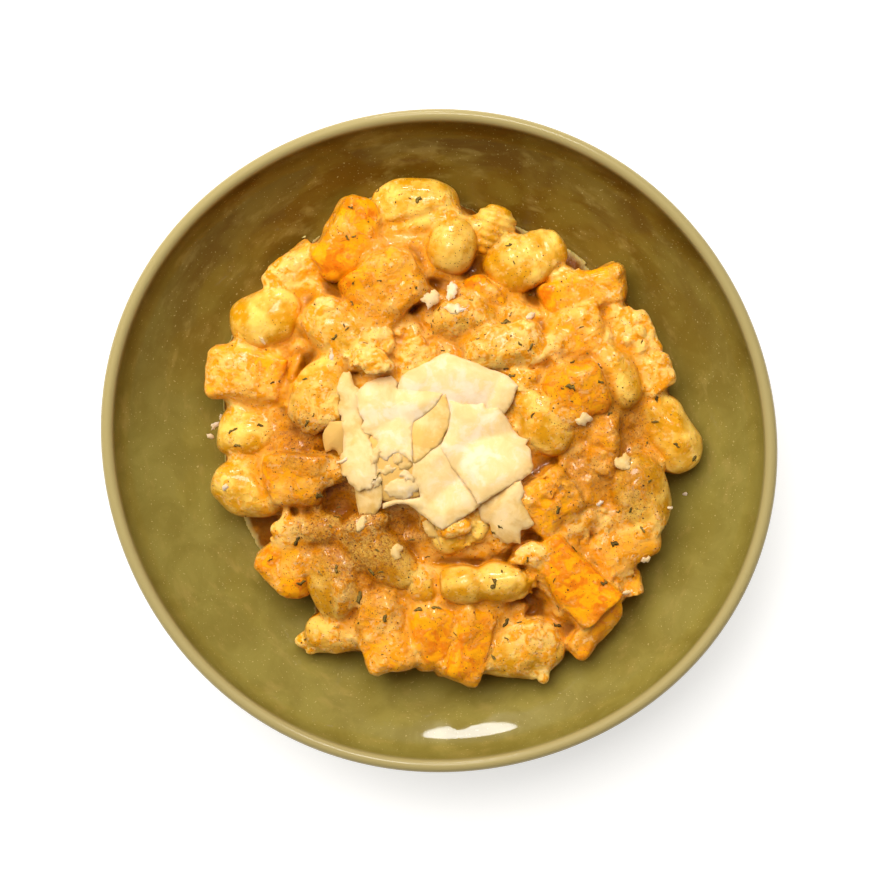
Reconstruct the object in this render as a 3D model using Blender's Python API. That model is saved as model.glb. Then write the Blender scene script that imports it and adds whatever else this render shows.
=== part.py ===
"""Potato gnocchi and cubes of squash in a thick cream sauce, under shavings of hard cheese,
served in a wide glazed stoneware bowl. Metres, +Z up, origin under the middle of the foot."""

import math
import random

import bmesh
import bpy
import numpy as np
from mathutils import Euler, Matrix, Vector
from mathutils.bvhtree import BVHTree
from mathutils.geometry import delaunay_2d_cdt

MM = 0.001
GAP = 0.3 * MM  # clearance between pieces that touch

# The bowl: a shallow coupe shape on a foot ring, a little oval as hand-made ware is.
RIM_RADIUS = 109.4 * MM
RIM_OVAL = 0.0132
RIM_OVAL_AXIS = math.radians(-21.7)
RIM_SQUARE = 0.0047
RIM_SQUARE_AXIS = math.radians(-27.0)
WALL = 4.2 * MM
FLOOR_HEIGHT = 8.5 * MM
FLOOR_RADIUS = 40 * MM
BELLY_RADIUS = 91 * MM
BELLY_ANGLE = math.radians(38)
SHOULDER_RADIUS = 30.5 * MM
SHOULDER_ANGLE = math.radians(68)
FOOT_OUTER = 50 * MM
FOOT_WIDTH = 5 * MM
FOOT_EDGE = 0.8 * MM
UNDERSIDE_HEIGHT = 3.0 * MM
BOWL_SEGMENTS = 48
BELLY_STEPS = 6
SHOULDER_STEPS = 3
LIP_STEPS = 4

# The heap: a mound of sauce that the gnocchi and the squash are bedded in.
HEAP_CENTRE = Vector((4 * MM, 3 * MM))
HEAP_SPREAD = 1.02
SAUCE_RADIUS = 73 * MM
SAUCE_PEAK = 37 * MM
SAUCE_FALL = 19.5 * MM
SAUCE_LUMP = 0.7 * MM
SAUCE_LUMP_SIZE = 8 * MM
SAUCE_EDGE = 2.2 * MM
SAUCE_SPOKES = 30
SAUCE_RINGS = 5
# Lobes of the sauce's outline: how many, how deep, and where the first one points.
SAUCE_LOBES = ((2, 0.045, 140), (3, 0.020, 90), (5, 0.015, 35), (7, 0.010, 10))

# How two soft pieces share what they are pressed together by: the upper one keeps more of its shape.
UPPER_SHARE = 0.3
BOWL_CLEARANCE = 0.5 * MM
POCKET_GROWTH = 0.45 * MM
SEARCH_DIRECTIONS = 900
SEARCH_CONES = (0.1, 0.03)  # how wide each finer search looks round the best direction so far
MOST_BEDDING_CUTS = 6

FINEST_FACET = 2.1 * MM
GNOCCO_HEIGHT = 0.9  # of its width
GNOCCO_SEGMENTS = 10
GNOCCO_RINGS = 6
GNOCCO_BLUNTNESS = 2.4
GNOCCO_TAPER = 0.08
SQUASH_BEVEL = 2.2 * MM
SQUASH_BEVEL_STEPS = 1
SQUASH_SKEW = 0.08

CHEESE_THICKNESS = 0.9 * MM
CHEESE_CLEARANCE = 0.5 * MM
CHEESE_STEEPEST = 0.16
CHEESE_DRAPE = 60 * MM  # how tightly a shaving bends over what it lies on, as a radius
CHEESE_EDGE_STEP = 6 * MM
CHEESE_GRID = 6 * MM
CHEESE_GRID_MARGIN = 2 * MM
CHEESE_TEAR = 0.3 * MM
CHEESE_SAMPLE_STEP = 1.5 * MM  # between the places tested for what lies under a shaving

# Each gnocco: middle x, y, z, length and width in millimetres, then its heading in degrees.
GNOCCHI = {
    "gnocco_rear": (-7.5, 75, 27, 32, 22.5, 3),
    "gnocco_rear_upright": (4.5, 63, 33, 21.5, 18, 70),
    "gnocco_rear_ridged": (16.5, 68, 29, 20, 16, 65),
    "gnocco_rear_right": (28, 58, 31, 30, 19, 28),
    "gnocco_left_large": (-55, 39.5, 29, 27, 22.5, 15),
    "gnocco_left_upper": (-29, 33, 35, 34, 19, -35),
    "gnocco_left_tucked": (-46, 22, 28, 25, 14, 75),
    "gnocco_left_outer": (-61, 3, 26, 26, 20, 3),
    "gnocco_left_lower": (-62, -16, 26, 27, 20, -20),
    "gnocco_left_inner": (-39, 15, 35, 27, 19, 62),
    "gnocco_small": (-37, -28, 33, 17, 12, 0),
    "gnocco_peppered": (-19, -37, 33, 32, 18, -42),
    "gnocco_front_left": (-33.5, -46, 30, 27, 20, -65),
    "gnocco_front_corner": (-34, -62, 26, 21, 17, -5),
    "gnocco_front_long": (15, -46, 35, 34, 15.5, 2),
    "gnocco_front_short": (-6, -47, 31, 16, 15, -40),
    "gnocco_front": (27, -68, 27, 31, 20, 14),
    "gnocco_right_outer": (74, 3, 28, 31, 19.5, -56),
    "gnocco_right_upper": (57, 21, 33, 27, 17, -65),
    "gnocco_right_lower": (64.5, -17, 31, 29, 22, -72),
    "gnocco_right_inner": (33, 7, 37, 28, 17, -52),
    "gnocco_broken": (7, -29, 34, 22, 14, 20),
    "gnocco_middle_rear": (8, 39, 36, 24, 15, 0),
    "gnocco_middle_right": (20, 30, 38, 27, 17, 10),
}

# Each cube of squash: middle x, y, z, length, width and height in millimetres, its heading and
# tilt in degrees, then how much narrower its far end is than its near end.
SQUASH = {
    "squash_rear_left": (-29.5, 65.5, 30, 26, 16, 16, 68, 10, 0.5),
    "squash_rear_top": (-18, 49, 36, 23, 20, 15, 30, 8, 0.1),
    "squash_left_rear": (-44.5, 56, 25, 20, 14, 14, 32, 0, -0.2),
    "squash_left_block": (-62, 22, 27, 24, 17, 16, -8, 5, 0.1),
    "squash_left_cube": (-46, -11, 33, 18.5, 17.5, 16, -8, 6, 0),
    "squash_left_dark": (-45, 0, 28, 16, 13, 13, 20, 0, 0),
    "squash_front_left": (-48, -40.5, 27, 20, 17, 15, -50, 12, 0.2),
    "squash_front_upright": (-18.5, -61, 30, 26, 15, 15, -72, 10, -0.2),
    "squash_front_middle": (-4, -64, 29, 21, 16, 16, 85, 14, 0),
    "squash_front_wedge": (8.5, -66, 30, 26, 13, 15, 80, 16, 0.1),
    "squash_right_bar": (42, -44, 34, 32, 14, 14, -47, 6, 0),
    "squash_right_corner": (49, -58, 27, 24, 13, 14, 48, 10, 0.2),
    "squash_right_front": (60.5, -33.5, 30, 20, 14, 14, 25, 8, 0.2),
    "squash_right_bit": (58.5, -46, 26, 14, 12, 12, 0, 0, 0.3),
    "squash_rear_right": (47.5, 46.5, 30, 28, 15.5, 14, 13, 8, 0),
    "squash_right_rear": (58.5, 36, 27, 14, 13, 13, -20, 0, 0.2),
    "squash_right_edge": (67, 24, 27, 22, 12.5, 13, -62, 5, 0),
    "squash_rear_small": (14.5, 47, 32, 15, 12, 12, -10, 0, 0),
    "squash_right_top": (44, 16, 37, 18, 18, 15, 20, 10, 0),
    "squash_right_slice": (53, -1, 34, 22, 8, 15, 85, 0, 0.3),
    "squash_inner_front": (35, -19, 36, 18, 17, 15, 40, 12, 0),
    "squash_inner_right": (46, -14, 33, 14, 11, 13, 80, 0, 0.2),
    "squash_inner_rear": (43, 34, 32, 18, 16, 14, 30, 6, 0),
    "squash_tucked": (-9, 24, 34, 14, 11, 12, 25, 0, 0),
}

# Each shaving, lowest first: the corners of its outline in millimetres, then how far it curls
# up at its ends, in millimetres, and the heading of the line that it curls along, in degrees.
SHAVINGS = {
    "shaving_front_right": (
        ((13, -22), (26, -13.5), (27, -19), (31, -27), (26, -33), (19, -32), (14, -27)), 1.5, 60),
    "shaving_left_chip": (
        ((-38, 1), (-36, 6), (-32, 7), (-31.5, -5), (-38, -3)), 0.5, 90),
    "shaving_left_strip": (
        ((-33, 21), (-29, 18), (-25, 6), (-20, -7), (-19, -22), (-27, -24), (-28, -15),
         (-31.5, -11)), 1.5, 90),
    "shaving_middle_flake": (
        ((-18, -16), (-14, -14), (-7.5, -13), (-6.5, -17), (-12, -19)), 0.5, 0),
    "shaving_front": (
        ((-8, -6), (0, 0), (9, -13), (13, -21), (0, -29), (-9, -23), (-19, -22), (-19, -20),
         (-6, -19.5)), 1.5, 0),
    "shaving_rear": (
        ((-13, 16), (-12, 21), (0, 29), (12, 25), (24, 18), (20, 8), (0, 7)), 1.5, 20),
    "shaving_right": (
        ((3.5, 11), (20, 11), (24, 4), (29, -2), (30.5, -9), (12.5, -20.5), (1, -4)), 2.0, -30),
    "shaving_left_top": (
        ((-27, 16), (-22, 20.5), (-15, 20), (0, 15), (3.5, 8), (0, -1), (-8, -7), (-14, -4),
         (-18, -6.5), (-24, 5)), 2.0, 20),
}


def clear_scene():
    for obj in list(bpy.data.objects):
        bpy.data.objects.remove(obj, do_unlink=True)


def make_material(name, colour, roughness):
    material = bpy.data.materials.new(name)
    material.use_nodes = True
    shader = material.node_tree.nodes["Principled BSDF"]
    shader.inputs["Base Color"].default_value = (*colour, 1.0)
    shader.inputs["Roughness"].default_value = roughness
    shader.inputs["Metallic"].default_value = 0.0
    return material


def add_object(name, bm, material, smooth_angle=40):
    mesh = bpy.data.meshes.new(name)
    bm.to_mesh(mesh)
    bm.free()
    mesh.shade_smooth()
    mesh.set_sharp_from_angle(angle=math.radians(smooth_angle))
    mesh.materials.append(material)
    obj = bpy.data.objects.new(name, mesh)
    bpy.context.scene.collection.objects.link(obj)
    return obj


# ---- bowl ----------------------------------------------------------------------------------


def rim_factor(angle):
    """How far the bowl's outline stands out of a circle in this direction."""
    oval = RIM_OVAL * math.cos(2 * (angle - RIM_OVAL_AXIS))
    square = RIM_SQUARE * math.cos(4 * (angle - RIM_SQUARE_AXIS))
    return 1 + oval + square


def wall_arcs(offset):
    """Belly and shoulder of the wall as (centre, radius, start angle, end angle) of each arc, at
    this distance outside the inner face. The angle is the wall's slope."""
    belly_centre = Vector((FLOOR_RADIUS, FLOOR_HEIGHT + BELLY_RADIUS))
    slope = Vector((math.sin(BELLY_ANGLE), -math.cos(BELLY_ANGLE)))
    shoulder_centre = belly_centre + slope * (BELLY_RADIUS - SHOULDER_RADIUS)
    return (
        (belly_centre, BELLY_RADIUS + offset, 0.0, BELLY_ANGLE),
        (shoulder_centre, SHOULDER_RADIUS + offset, BELLY_ANGLE, SHOULDER_ANGLE),
    )


def on_arc(arc, slope):
    centre, radius, _, _ = arc
    return Vector((centre.x + radius * math.sin(slope), centre.y - radius * math.cos(slope)))


def arc_points(arc, steps):
    _, _, start, end = arc
    return [on_arc(arc, start + (end - start) * i / steps) for i in range(steps + 1)]


def lip_points(inner_top, outer_top, steps):
    """The rounded lip: half a circle from the top of the inner face over to the outer face."""
    centre = (inner_top + outer_top) / 2
    reach = inner_top - centre
    turn = -math.pi / steps
    return [centre + Matrix.Rotation(turn * i, 2) @ reach for i in range(1, steps)]


def bowl_profile():
    """(radius, height) round the section, from the middle of the floor to the middle of the underside."""
    inner_belly, inner_shoulder = wall_arcs(0)
    outer_belly, outer_shoulder = wall_arcs(WALL)
    inner = arc_points(inner_belly, BELLY_STEPS) + arc_points(inner_shoulder, SHOULDER_STEPS)[1:]
    outer = arc_points(outer_shoulder, SHOULDER_STEPS - 1)[::-1]
    foot_slope = math.asin((FOOT_OUTER - FLOOR_RADIUS) / (BELLY_RADIUS + WALL))
    outer_steps = BELLY_STEPS // 2
    for i in range(1, outer_steps + 1):
        slope = BELLY_ANGLE + (foot_slope - BELLY_ANGLE) * i / outer_steps
        outer.append(on_arc(outer_belly, slope))
    foot_inner = FOOT_OUTER - FOOT_WIDTH
    foot = [
        Vector((FOOT_OUTER, FOOT_EDGE)),
        Vector((FOOT_OUTER - FOOT_EDGE, 0)),
        Vector((foot_inner + FOOT_EDGE, 0)),
        Vector((foot_inner, FOOT_EDGE)),
        Vector((foot_inner - UNDERSIDE_HEIGHT / 2, UNDERSIDE_HEIGHT)),
    ]
    centre_top, centre_under = Vector((0, FLOOR_HEIGHT)), Vector((0, UNDERSIDE_HEIGHT))
    lip = lip_points(inner[-1], outer[0], LIP_STEPS)
    return [centre_top] + inner + lip + outer + foot + [centre_under]


def cavity_height(x, y):
    """Height of the bowl's inner face at this point."""
    belly, shoulder = wall_arcs(0)
    radius = math.hypot(x, y) / (rim_factor(math.atan2(y, x)) * radial_scale())
    if radius <= FLOOR_RADIUS:
        return FLOOR_HEIGHT
    arc = belly if radius <= on_arc(belly, BELLY_ANGLE).x else shoulder
    across = min((radius - arc[0].x) / arc[1], math.sin(SHOULDER_ANGLE))
    return on_arc(arc, math.asin(across)).y


def radial_scale():
    """The profile is drawn at its own radii, and this brings its widest point to RIM_RADIUS."""
    return RIM_RADIUS / max(point.x for point in bowl_profile())


def add_bowl(material):
    bm = bmesh.new()
    profile = bowl_profile()
    scale = radial_scale()
    rings = []
    for point in profile[1:-1]:
        ring = []
        for i in range(BOWL_SEGMENTS):
            angle = 2 * math.pi * i / BOWL_SEGMENTS
            radius = point.x * scale * rim_factor(angle)
            ring.append(bm.verts.new((radius * math.cos(angle), radius * math.sin(angle), point.y)))
        rings.append(ring)
    top = bm.verts.new((0, 0, profile[0].y))
    under = bm.verts.new((0, 0, profile[-1].y))
    for i in range(BOWL_SEGMENTS):
        j = (i + 1) % BOWL_SEGMENTS
        bm.faces.new((top, rings[0][i], rings[0][j]))
        bm.faces.new((under, rings[-1][j], rings[-1][i]))
        for low, high in zip(rings, rings[1:]):
            bm.faces.new((low[i], high[i], high[j], low[j]))
    bmesh.ops.recalc_face_normals(bm, faces=bm.faces[:])
    return add_object("bowl", bm, material)


# ---- gnocchi and squash: convex lumps, pressed flat where they touch ---------------------------


def hull(points, finest=0.05 * MM):
    """A closed convex mesh round these points, with points nearer than this made one."""
    bm = bmesh.new()
    for point in points:
        bm.verts.new(point)
    bmesh.ops.remove_doubles(bm, verts=bm.verts[:], dist=finest)
    made = bmesh.ops.convex_hull(bm, input=bm.verts[:])
    spare = {v for v in made["geom_interior"] + made["geom_unused"] if isinstance(v, bmesh.types.BMVert)}
    bmesh.ops.delete(bm, geom=list(spare), context="VERTS")
    bmesh.ops.recalc_face_normals(bm, faces=bm.faces[:])
    return bm


def clipped(points, normal, limit):
    """The convex hull of the points, cut back to where point . normal is at most limit."""
    if (points @ normal).max() <= limit:
        return points
    bm = hull(points)
    bmesh.ops.bisect_plane(
        bm,
        geom=bm.verts[:] + bm.edges[:] + bm.faces[:],
        plane_co=Vector(normal * limit),
        plane_no=Vector(normal),
        clear_outer=True,
    )
    kept = np.array([v.co[:] for v in bm.verts])
    bm.free()
    return kept


def gnocco_points(length, width, rng):
    """A blunt oval of dough, a little fatter at one end."""
    height = width * GNOCCO_HEIGHT
    taper = rng.uniform(-GNOCCO_TAPER, GNOCCO_TAPER)
    points = []
    for ring in range(GNOCCO_RINGS + 1):
        lift = math.pi * ring / GNOCCO_RINGS
        along = -math.cos(lift)
        girth = (1 - abs(along) ** GNOCCO_BLUNTNESS) ** (1 / GNOCCO_BLUNTNESS) * (1 + taper * along)
        count = GNOCCO_SEGMENTS if 0 < ring < GNOCCO_RINGS else 1
        for i in range(count):
            turn = 2 * math.pi * (i + 0.5 * (ring % 2)) / GNOCCO_SEGMENTS
            points.append(
                (
                    along * length / 2,
                    girth * math.cos(turn) * width / 2,
                    girth * math.sin(turn) * height / 2,
                )
            )
    return points


def squash_points(length, width, height, taper, rng):
    """A knife-cut cube whose corners aren't quite square, with softened edges."""
    bm = bmesh.new()
    bmesh.ops.create_cube(bm, size=1)
    for vert in bm.verts:
        x, y, z = vert.co + Vector([rng.uniform(-SQUASH_SKEW, SQUASH_SKEW) for _ in range(3)])
        vert.co = Vector((x * length, y * width * (1 - taper * x), z * height))
    bmesh.ops.bevel(
        bm, geom=bm.edges[:], offset=SQUASH_BEVEL, segments=SQUASH_BEVEL_STEPS, affect="EDGES"
    )
    points = [v.co.copy() for v in bm.verts]
    bm.free()
    return points


def placed(points, x, y, z, heading, tilt):
    turn = Euler((math.radians(tilt), 0, math.radians(heading))).to_matrix().to_4x4()
    place = Matrix.Translation((x * HEAP_SPREAD, y * HEAP_SPREAD, z)) @ turn
    return np.array([(place @ Vector(p))[:] for p in points])


def even_directions(count):
    """Unit vectors spread evenly over a sphere."""
    i = np.arange(count) + 0.5
    z = 1 - 2 * i / count
    turn = math.pi * (1 + math.sqrt(5)) * i
    side = np.sqrt(1 - z * z)
    return np.stack([side * np.cos(turn), side * np.sin(turn), z], axis=1)


def least_overlap(first, second, directions):
    """The direction from first to second in which they overlap least, and by how much."""
    depth = (first @ directions.T).max(axis=0) - (second @ directions.T).min(axis=0)
    best = int(depth.argmin())
    return directions[best], float(depth[best])


def press_apart(lumps):
    """Cuts each pair of lumps back to a flat contact. The lumps are listed from the top down."""
    directions = even_directions(SEARCH_DIRECTIONS)
    around = directions[::6]
    names = list(lumps)
    for i, upper in enumerate(names):
        for lower in names[i + 1 :]:
            axis, depth = least_overlap(lumps[upper], lumps[lower], directions)
            for cone in SEARCH_CONES:
                nearby = axis + cone * around
                nearby /= np.linalg.norm(nearby, axis=1)[:, None]
                finer, shallower = least_overlap(lumps[upper], lumps[lower], nearby)
                if shallower < depth:
                    axis, depth = finer, shallower
            squeeze = depth + GAP
            if squeeze <= 0:
                continue
            high = (lumps[upper] @ axis).max() - squeeze * UPPER_SHARE
            low = (lumps[lower] @ axis).min() + squeeze * (1 - UPPER_SHARE)
            lumps[upper] = clipped(lumps[upper], axis, high)
            lumps[lower] = clipped(lumps[lower], -axis, -low)


def bed_in_bowl(points):
    """Flattens a lump where it would press into the bowl: the bowl's inside is convex, so each cut
    is along the plane that touches the wall under the deepest corner."""
    step = 0.5 * MM
    for _ in range(MOST_BEDDING_CUTS):
        depths = [cavity_height(x, y) + BOWL_CLEARANCE - z for x, y, z in points]
        deepest = int(np.argmax(depths))
        if depths[deepest] <= 0:
            break
        x, y, _ = points[deepest]
        here = cavity_height(x, y)
        slope_x = (cavity_height(x + step, y) - cavity_height(x - step, y)) / (2 * step)
        slope_y = (cavity_height(x, y + step) - cavity_height(x, y - step)) / (2 * step)
        down = np.array([slope_x, slope_y, -1.0])
        down /= np.linalg.norm(down)
        touch = np.array([x, y, here + BOWL_CLEARANCE])
        points = clipped(points, down, float(down @ touch))
    return points


def heap_lumps():
    """Points of each gnocco and cube, by name, from the top of the heap down."""
    rng = random.Random(7)
    lumps = {}
    for name, (x, y, z, length, width, heading) in GNOCCHI.items():
        points = gnocco_points(length * MM, width * MM, rng)
        lumps[name] = placed(points, x * MM, y * MM, z * MM, heading, 0)
    for name, (x, y, z, length, width, height, heading, tilt, taper) in SQUASH.items():
        points = squash_points(length * MM, width * MM, height * MM, taper, rng)
        lumps[name] = placed(points, x * MM, y * MM, z * MM, heading, tilt)
    lumps = dict(sorted(lumps.items(), key=lambda item: -item[1][:, 2].max()))
    press_apart(lumps)
    return {name: bed_in_bowl(points) for name, points in lumps.items()}


def add_lumps(lumps, materials):
    made = []
    for name, points in lumps.items():
        kind = name.split("_")[0]
        made.append(add_object(name, hull(points, FINEST_FACET), materials[kind]))
    return made


# ---- sauce -------------------------------------------------------------------------------------


def sauce_outline(angle):
    """Distance from the heap's middle to the sauce's edge in this direction."""
    radius = SAUCE_RADIUS
    for lobes, depth, first in SAUCE_LOBES:
        radius += SAUCE_RADIUS * depth * math.cos(lobes * (angle - math.radians(first)))
    return radius


def sauce_height(x, y):
    """The mound's height before the pieces sink into it."""
    out = (Vector((x, y)) - HEAP_CENTRE).length / SAUCE_RADIUS
    lump = math.sin(x / SAUCE_LUMP_SIZE) * math.cos(y / SAUCE_LUMP_SIZE)
    mound = SAUCE_PEAK - SAUCE_FALL * out**2 + SAUCE_LUMP * lump
    return max(mound, cavity_height(x, y) + SAUCE_EDGE)


def add_sauce(material, lumps):
    """The mound, whose underside follows the bowl, with a pocket cut for each piece."""
    bm = bmesh.new()
    tops, unders = [], []
    for ring in range(1, SAUCE_RINGS + 1):
        top, under = [], []
        for spoke in range(SAUCE_SPOKES):
            angle = 2 * math.pi * spoke / SAUCE_SPOKES
            reach = sauce_outline(angle) * ring / SAUCE_RINGS
            x = HEAP_CENTRE.x + reach * math.cos(angle)
            y = HEAP_CENTRE.y + reach * math.sin(angle)
            top.append(bm.verts.new((x, y, sauce_height(x, y))))
            under.append(bm.verts.new((x, y, cavity_height(x, y) + BOWL_CLEARANCE)))
        tops.append(top)
        unders.append(under)
    x, y = HEAP_CENTRE
    peak = bm.verts.new((x, y, sauce_height(x, y)))
    base = bm.verts.new((x, y, cavity_height(x, y) + BOWL_CLEARANCE))
    for i in range(SAUCE_SPOKES):
        j = (i + 1) % SAUCE_SPOKES
        bm.faces.new((peak, tops[0][i], tops[0][j]))
        bm.faces.new((base, unders[0][j], unders[0][i]))
        bm.faces.new((tops[-1][i], unders[-1][i], unders[-1][j], tops[-1][j]))
        for near, far in zip(tops, tops[1:]):
            bm.faces.new((near[i], far[i], far[j], near[j]))
        for near, far in zip(unders, unders[1:]):
            bm.faces.new((near[j], far[j], far[i], near[i]))
    bmesh.ops.recalc_face_normals(bm, faces=bm.faces[:])
    sauce = add_object("sauce", bm, material)
    cut = sauce.modifiers.new("pockets", "BOOLEAN")
    cut.operation = "DIFFERENCE"
    cut.solver = "EXACT"
    cut.operand_type = "COLLECTION"
    cut.collection = pocket_cutters(lumps)
    return sauce


def pocket_cutters(lumps):
    """A copy of each piece, grown by the clearance, that cuts its pocket in the sauce."""
    cutters = bpy.data.collections.new("pockets")
    bpy.context.scene.collection.children.link(cutters)
    for lump in lumps:
        cutter = lump.copy()
        cutter.data = lump.data.copy()
        cutter.name = "pocket_" + lump.name
        for vert in cutter.data.vertices:
            vert.co += vert.normal * POCKET_GROWTH
        cutters.objects.link(cutter)
        cutter.hide_render = True
        cutter.display_type = "WIRE"
    return cutters


# ---- cheese --------------------------------------------------------------------------------------


def torn_outline(corners, rng):
    """The outline with points along its sides, which wander a little as a torn edge does."""
    outline = []
    for start, end in zip(corners, corners[1:] + corners[:1]):
        start, end = Vector(start) * MM, Vector(end) * MM
        steps = max(1, round((end - start).length / CHEESE_EDGE_STEP))
        side = (end - start).orthogonal().normalized()
        for i in range(steps):
            wander = side * rng.uniform(-1, 1) * CHEESE_TEAR
            outline.append(start.lerp(end, i / steps) + wander)
    return outline


def is_inside(point, outline):
    """Whether a line from the point to the right crosses the outline an odd number of times."""
    crossings = 0
    for a, b in zip(outline, outline[1:] + outline[:1]):
        if (a.y > point.y) != (b.y > point.y):
            share = (point.y - a.y) / (b.y - a.y)
            crossings += a.x + share * (b.x - a.x) > point.x
    return crossings % 2 == 1


def distance_to_edge(point, outline):
    nearest = []
    for a, b in zip(outline, outline[1:] + outline[:1]):
        share = (point - a).dot(b - a) / (b - a).length_squared
        nearest.append((a.lerp(b, min(1.0, max(0.0, share))) - point).length)
    return min(nearest)


def grid_inside(outline, step, margin):
    """Points of a square grid that lie inside the outline, at least the margin from its edge."""
    reach = math.ceil(max(p.length for p in outline) / step)
    cells = range(-reach, reach + 1)
    points = [Vector((column * step, row * step)) for column in cells for row in cells]
    return [p for p in points if is_inside(p, outline) and distance_to_edge(p, outline) > margin]


def draped_height(samples, support):
    """A function that gives the height of a sheet lying over the samples: it leans only a little,
    stays clear of what is under it, and bends over the highest points."""
    places = np.array([(p.x, p.y) for p in samples])
    tops = np.array([support(p) for p in samples])
    rows = np.column_stack((np.ones(len(places)), places))
    lean = np.linalg.lstsq(rows, tops, rcond=None)[0][1:]
    lean *= min(1.0, CHEESE_STEEPEST / np.linalg.norm(lean))
    above_plane = tops - places @ lean

    def height(point):
        here = np.array(point)
        drop = ((places - here) ** 2).sum(axis=1) / (2 * CHEESE_DRAPE)
        return float(here @ lean + (above_plane - drop).max()) + CHEESE_CLEARANCE

    return height


def add_shaving(name, corners, curl, heading, material, support, rng):
    outline = torn_outline(corners, rng)
    middle = sum(outline, Vector((0, 0))) / len(outline)
    across = Vector((math.cos(math.radians(heading)), math.sin(math.radians(heading))))
    half = max(abs((p - middle).dot(across)) for p in outline)
    samples = outline + grid_inside(outline, CHEESE_SAMPLE_STEP, 0)
    draped = draped_height(samples, support)

    def height(point):
        bend = ((point - middle).dot(across) / half) ** 2
        return draped(point) + curl * MM * bend

    inner = grid_inside(outline, CHEESE_GRID, CHEESE_GRID_MARGIN)
    edge = list(range(len(outline)))
    points, _, faces, *_ = delaunay_2d_cdt(outline + inner, [], [edge], 1, 1e-9)
    bm = bmesh.new()
    under = [bm.verts.new((*p, height(p))) for p in points]
    top = [bm.verts.new((*p, height(p) + CHEESE_THICKNESS)) for p in points]
    for face in faces:
        bm.faces.new([top[i] for i in face])
        bm.faces.new([under[i] for i in reversed(face)])
    for i, j in zip(edge, edge[1:] + edge[:1]):
        bm.faces.new((under[i], under[j], top[j], top[i]))
    bmesh.ops.recalc_face_normals(bm, faces=bm.faces[:])
    return add_object(name, bm, material)


def height_over(objects):
    """A function that gives the height of the highest of these objects under a point."""
    depsgraph = bpy.context.evaluated_depsgraph_get()
    trees = [BVHTree.FromObject(obj, depsgraph) for obj in objects]

    def support(point):
        highest = cavity_height(point.x, point.y)
        for tree in trees:
            hit = tree.ray_cast(Vector((point.x, point.y, 1)), Vector((0, 0, -1)))[0]
            if hit is not None:
                highest = max(highest, hit.z)
        return highest

    return support


def add_cheese(material, lying_on):
    rng = random.Random(11)
    for name, (corners, curl, heading) in SHAVINGS.items():
        bpy.context.view_layer.update()
        support = height_over(lying_on)
        lying_on.append(add_shaving(name, corners, curl, heading, material, support, rng))


def main():
    clear_scene()
    glaze = make_material("olive_glaze", (0.26, 0.20, 0.04), 0.18)
    materials = {
        "gnocco": make_material("potato_dough", (0.83, 0.55, 0.15), 0.45),
        "squash": make_material("squash", (0.85, 0.30, 0.02), 0.40),
    }
    cream = make_material("cream_sauce", (0.80, 0.36, 0.09), 0.35)
    cheese = make_material("hard_cheese", (0.90, 0.72, 0.40), 0.55)
    add_bowl(glaze)
    lumps = add_lumps(heap_lumps(), materials)
    sauce = add_sauce(cream, lumps)
    add_cheese(cheese, [sauce, *lumps])


main()
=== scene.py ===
"""Potato gnocchi and squash in cream sauce with shaved cheese, in an olive stoneware bowl.

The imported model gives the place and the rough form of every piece. Each piece of food is a field:
a number at each point of a grid that is negative inside the food. Noise roughens the fields, the
sauce is the smooth union of a mound with a coat round each piece, and their zero surfaces are the
meshes. Lengths are in millimetres until a mesh is made, which is in metres.
"""
import itertools
import math

import bpy
import numpy as np
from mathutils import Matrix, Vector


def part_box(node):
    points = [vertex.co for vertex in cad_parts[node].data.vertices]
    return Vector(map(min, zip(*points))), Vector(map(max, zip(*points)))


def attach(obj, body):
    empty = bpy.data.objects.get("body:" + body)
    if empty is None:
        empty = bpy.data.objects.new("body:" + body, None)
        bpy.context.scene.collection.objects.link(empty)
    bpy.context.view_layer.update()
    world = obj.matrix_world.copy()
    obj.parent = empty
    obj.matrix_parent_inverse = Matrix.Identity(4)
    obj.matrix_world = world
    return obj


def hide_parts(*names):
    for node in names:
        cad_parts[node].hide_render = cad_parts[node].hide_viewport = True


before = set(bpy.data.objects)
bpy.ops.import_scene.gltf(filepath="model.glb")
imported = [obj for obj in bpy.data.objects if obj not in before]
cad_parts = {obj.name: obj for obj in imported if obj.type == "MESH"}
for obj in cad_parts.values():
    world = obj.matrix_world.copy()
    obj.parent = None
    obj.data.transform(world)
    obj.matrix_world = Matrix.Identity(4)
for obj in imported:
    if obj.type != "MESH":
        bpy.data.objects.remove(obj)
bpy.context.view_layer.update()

import openvdb
from mathutils import Vector
from mathutils.geometry import delaunay_2d_cdt

MM = 0.001
STEP = 0.6  # of the grid
NOISE_PERIOD = 64
NOISE_SHIFT = 1000  # keeps the noise's places above zero
FAR = 99  # a field's value where nothing is near
BAND = 4.5  # how near its zero surface a field is worked out in full

# The bowl, as the solid has it.
RIM_RADIUS = 109.4
RIM_OVAL = 0.0132
RIM_OVAL_AXIS = math.radians(-21.7)
RIM_SQUARE = 0.0047
RIM_SQUARE_AXIS = math.radians(-27.0)
WALL = 4.2
FLOOR_HEIGHT = 8.5
FLOOR_RADIUS = 40
BELLY_RADIUS = 91
BELLY_ANGLE = math.radians(38)
SHOULDER_RADIUS = 30.5
SHOULDER_ANGLE = math.radians(68)
FLARE_RADIUS = 88  # from here the glazed face is flatter than the solid's, and its lip is steeper
FLARE_END_RADIUS = 100.5
FLARE_CURVE = 152.5
FOOT_OUTER = 50
FOOT_WIDTH = 5
FOOT_EDGE = 0.8
UNDERSIDE_HEIGHT = 3.0
BOWL_SEGMENTS = 256

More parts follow.
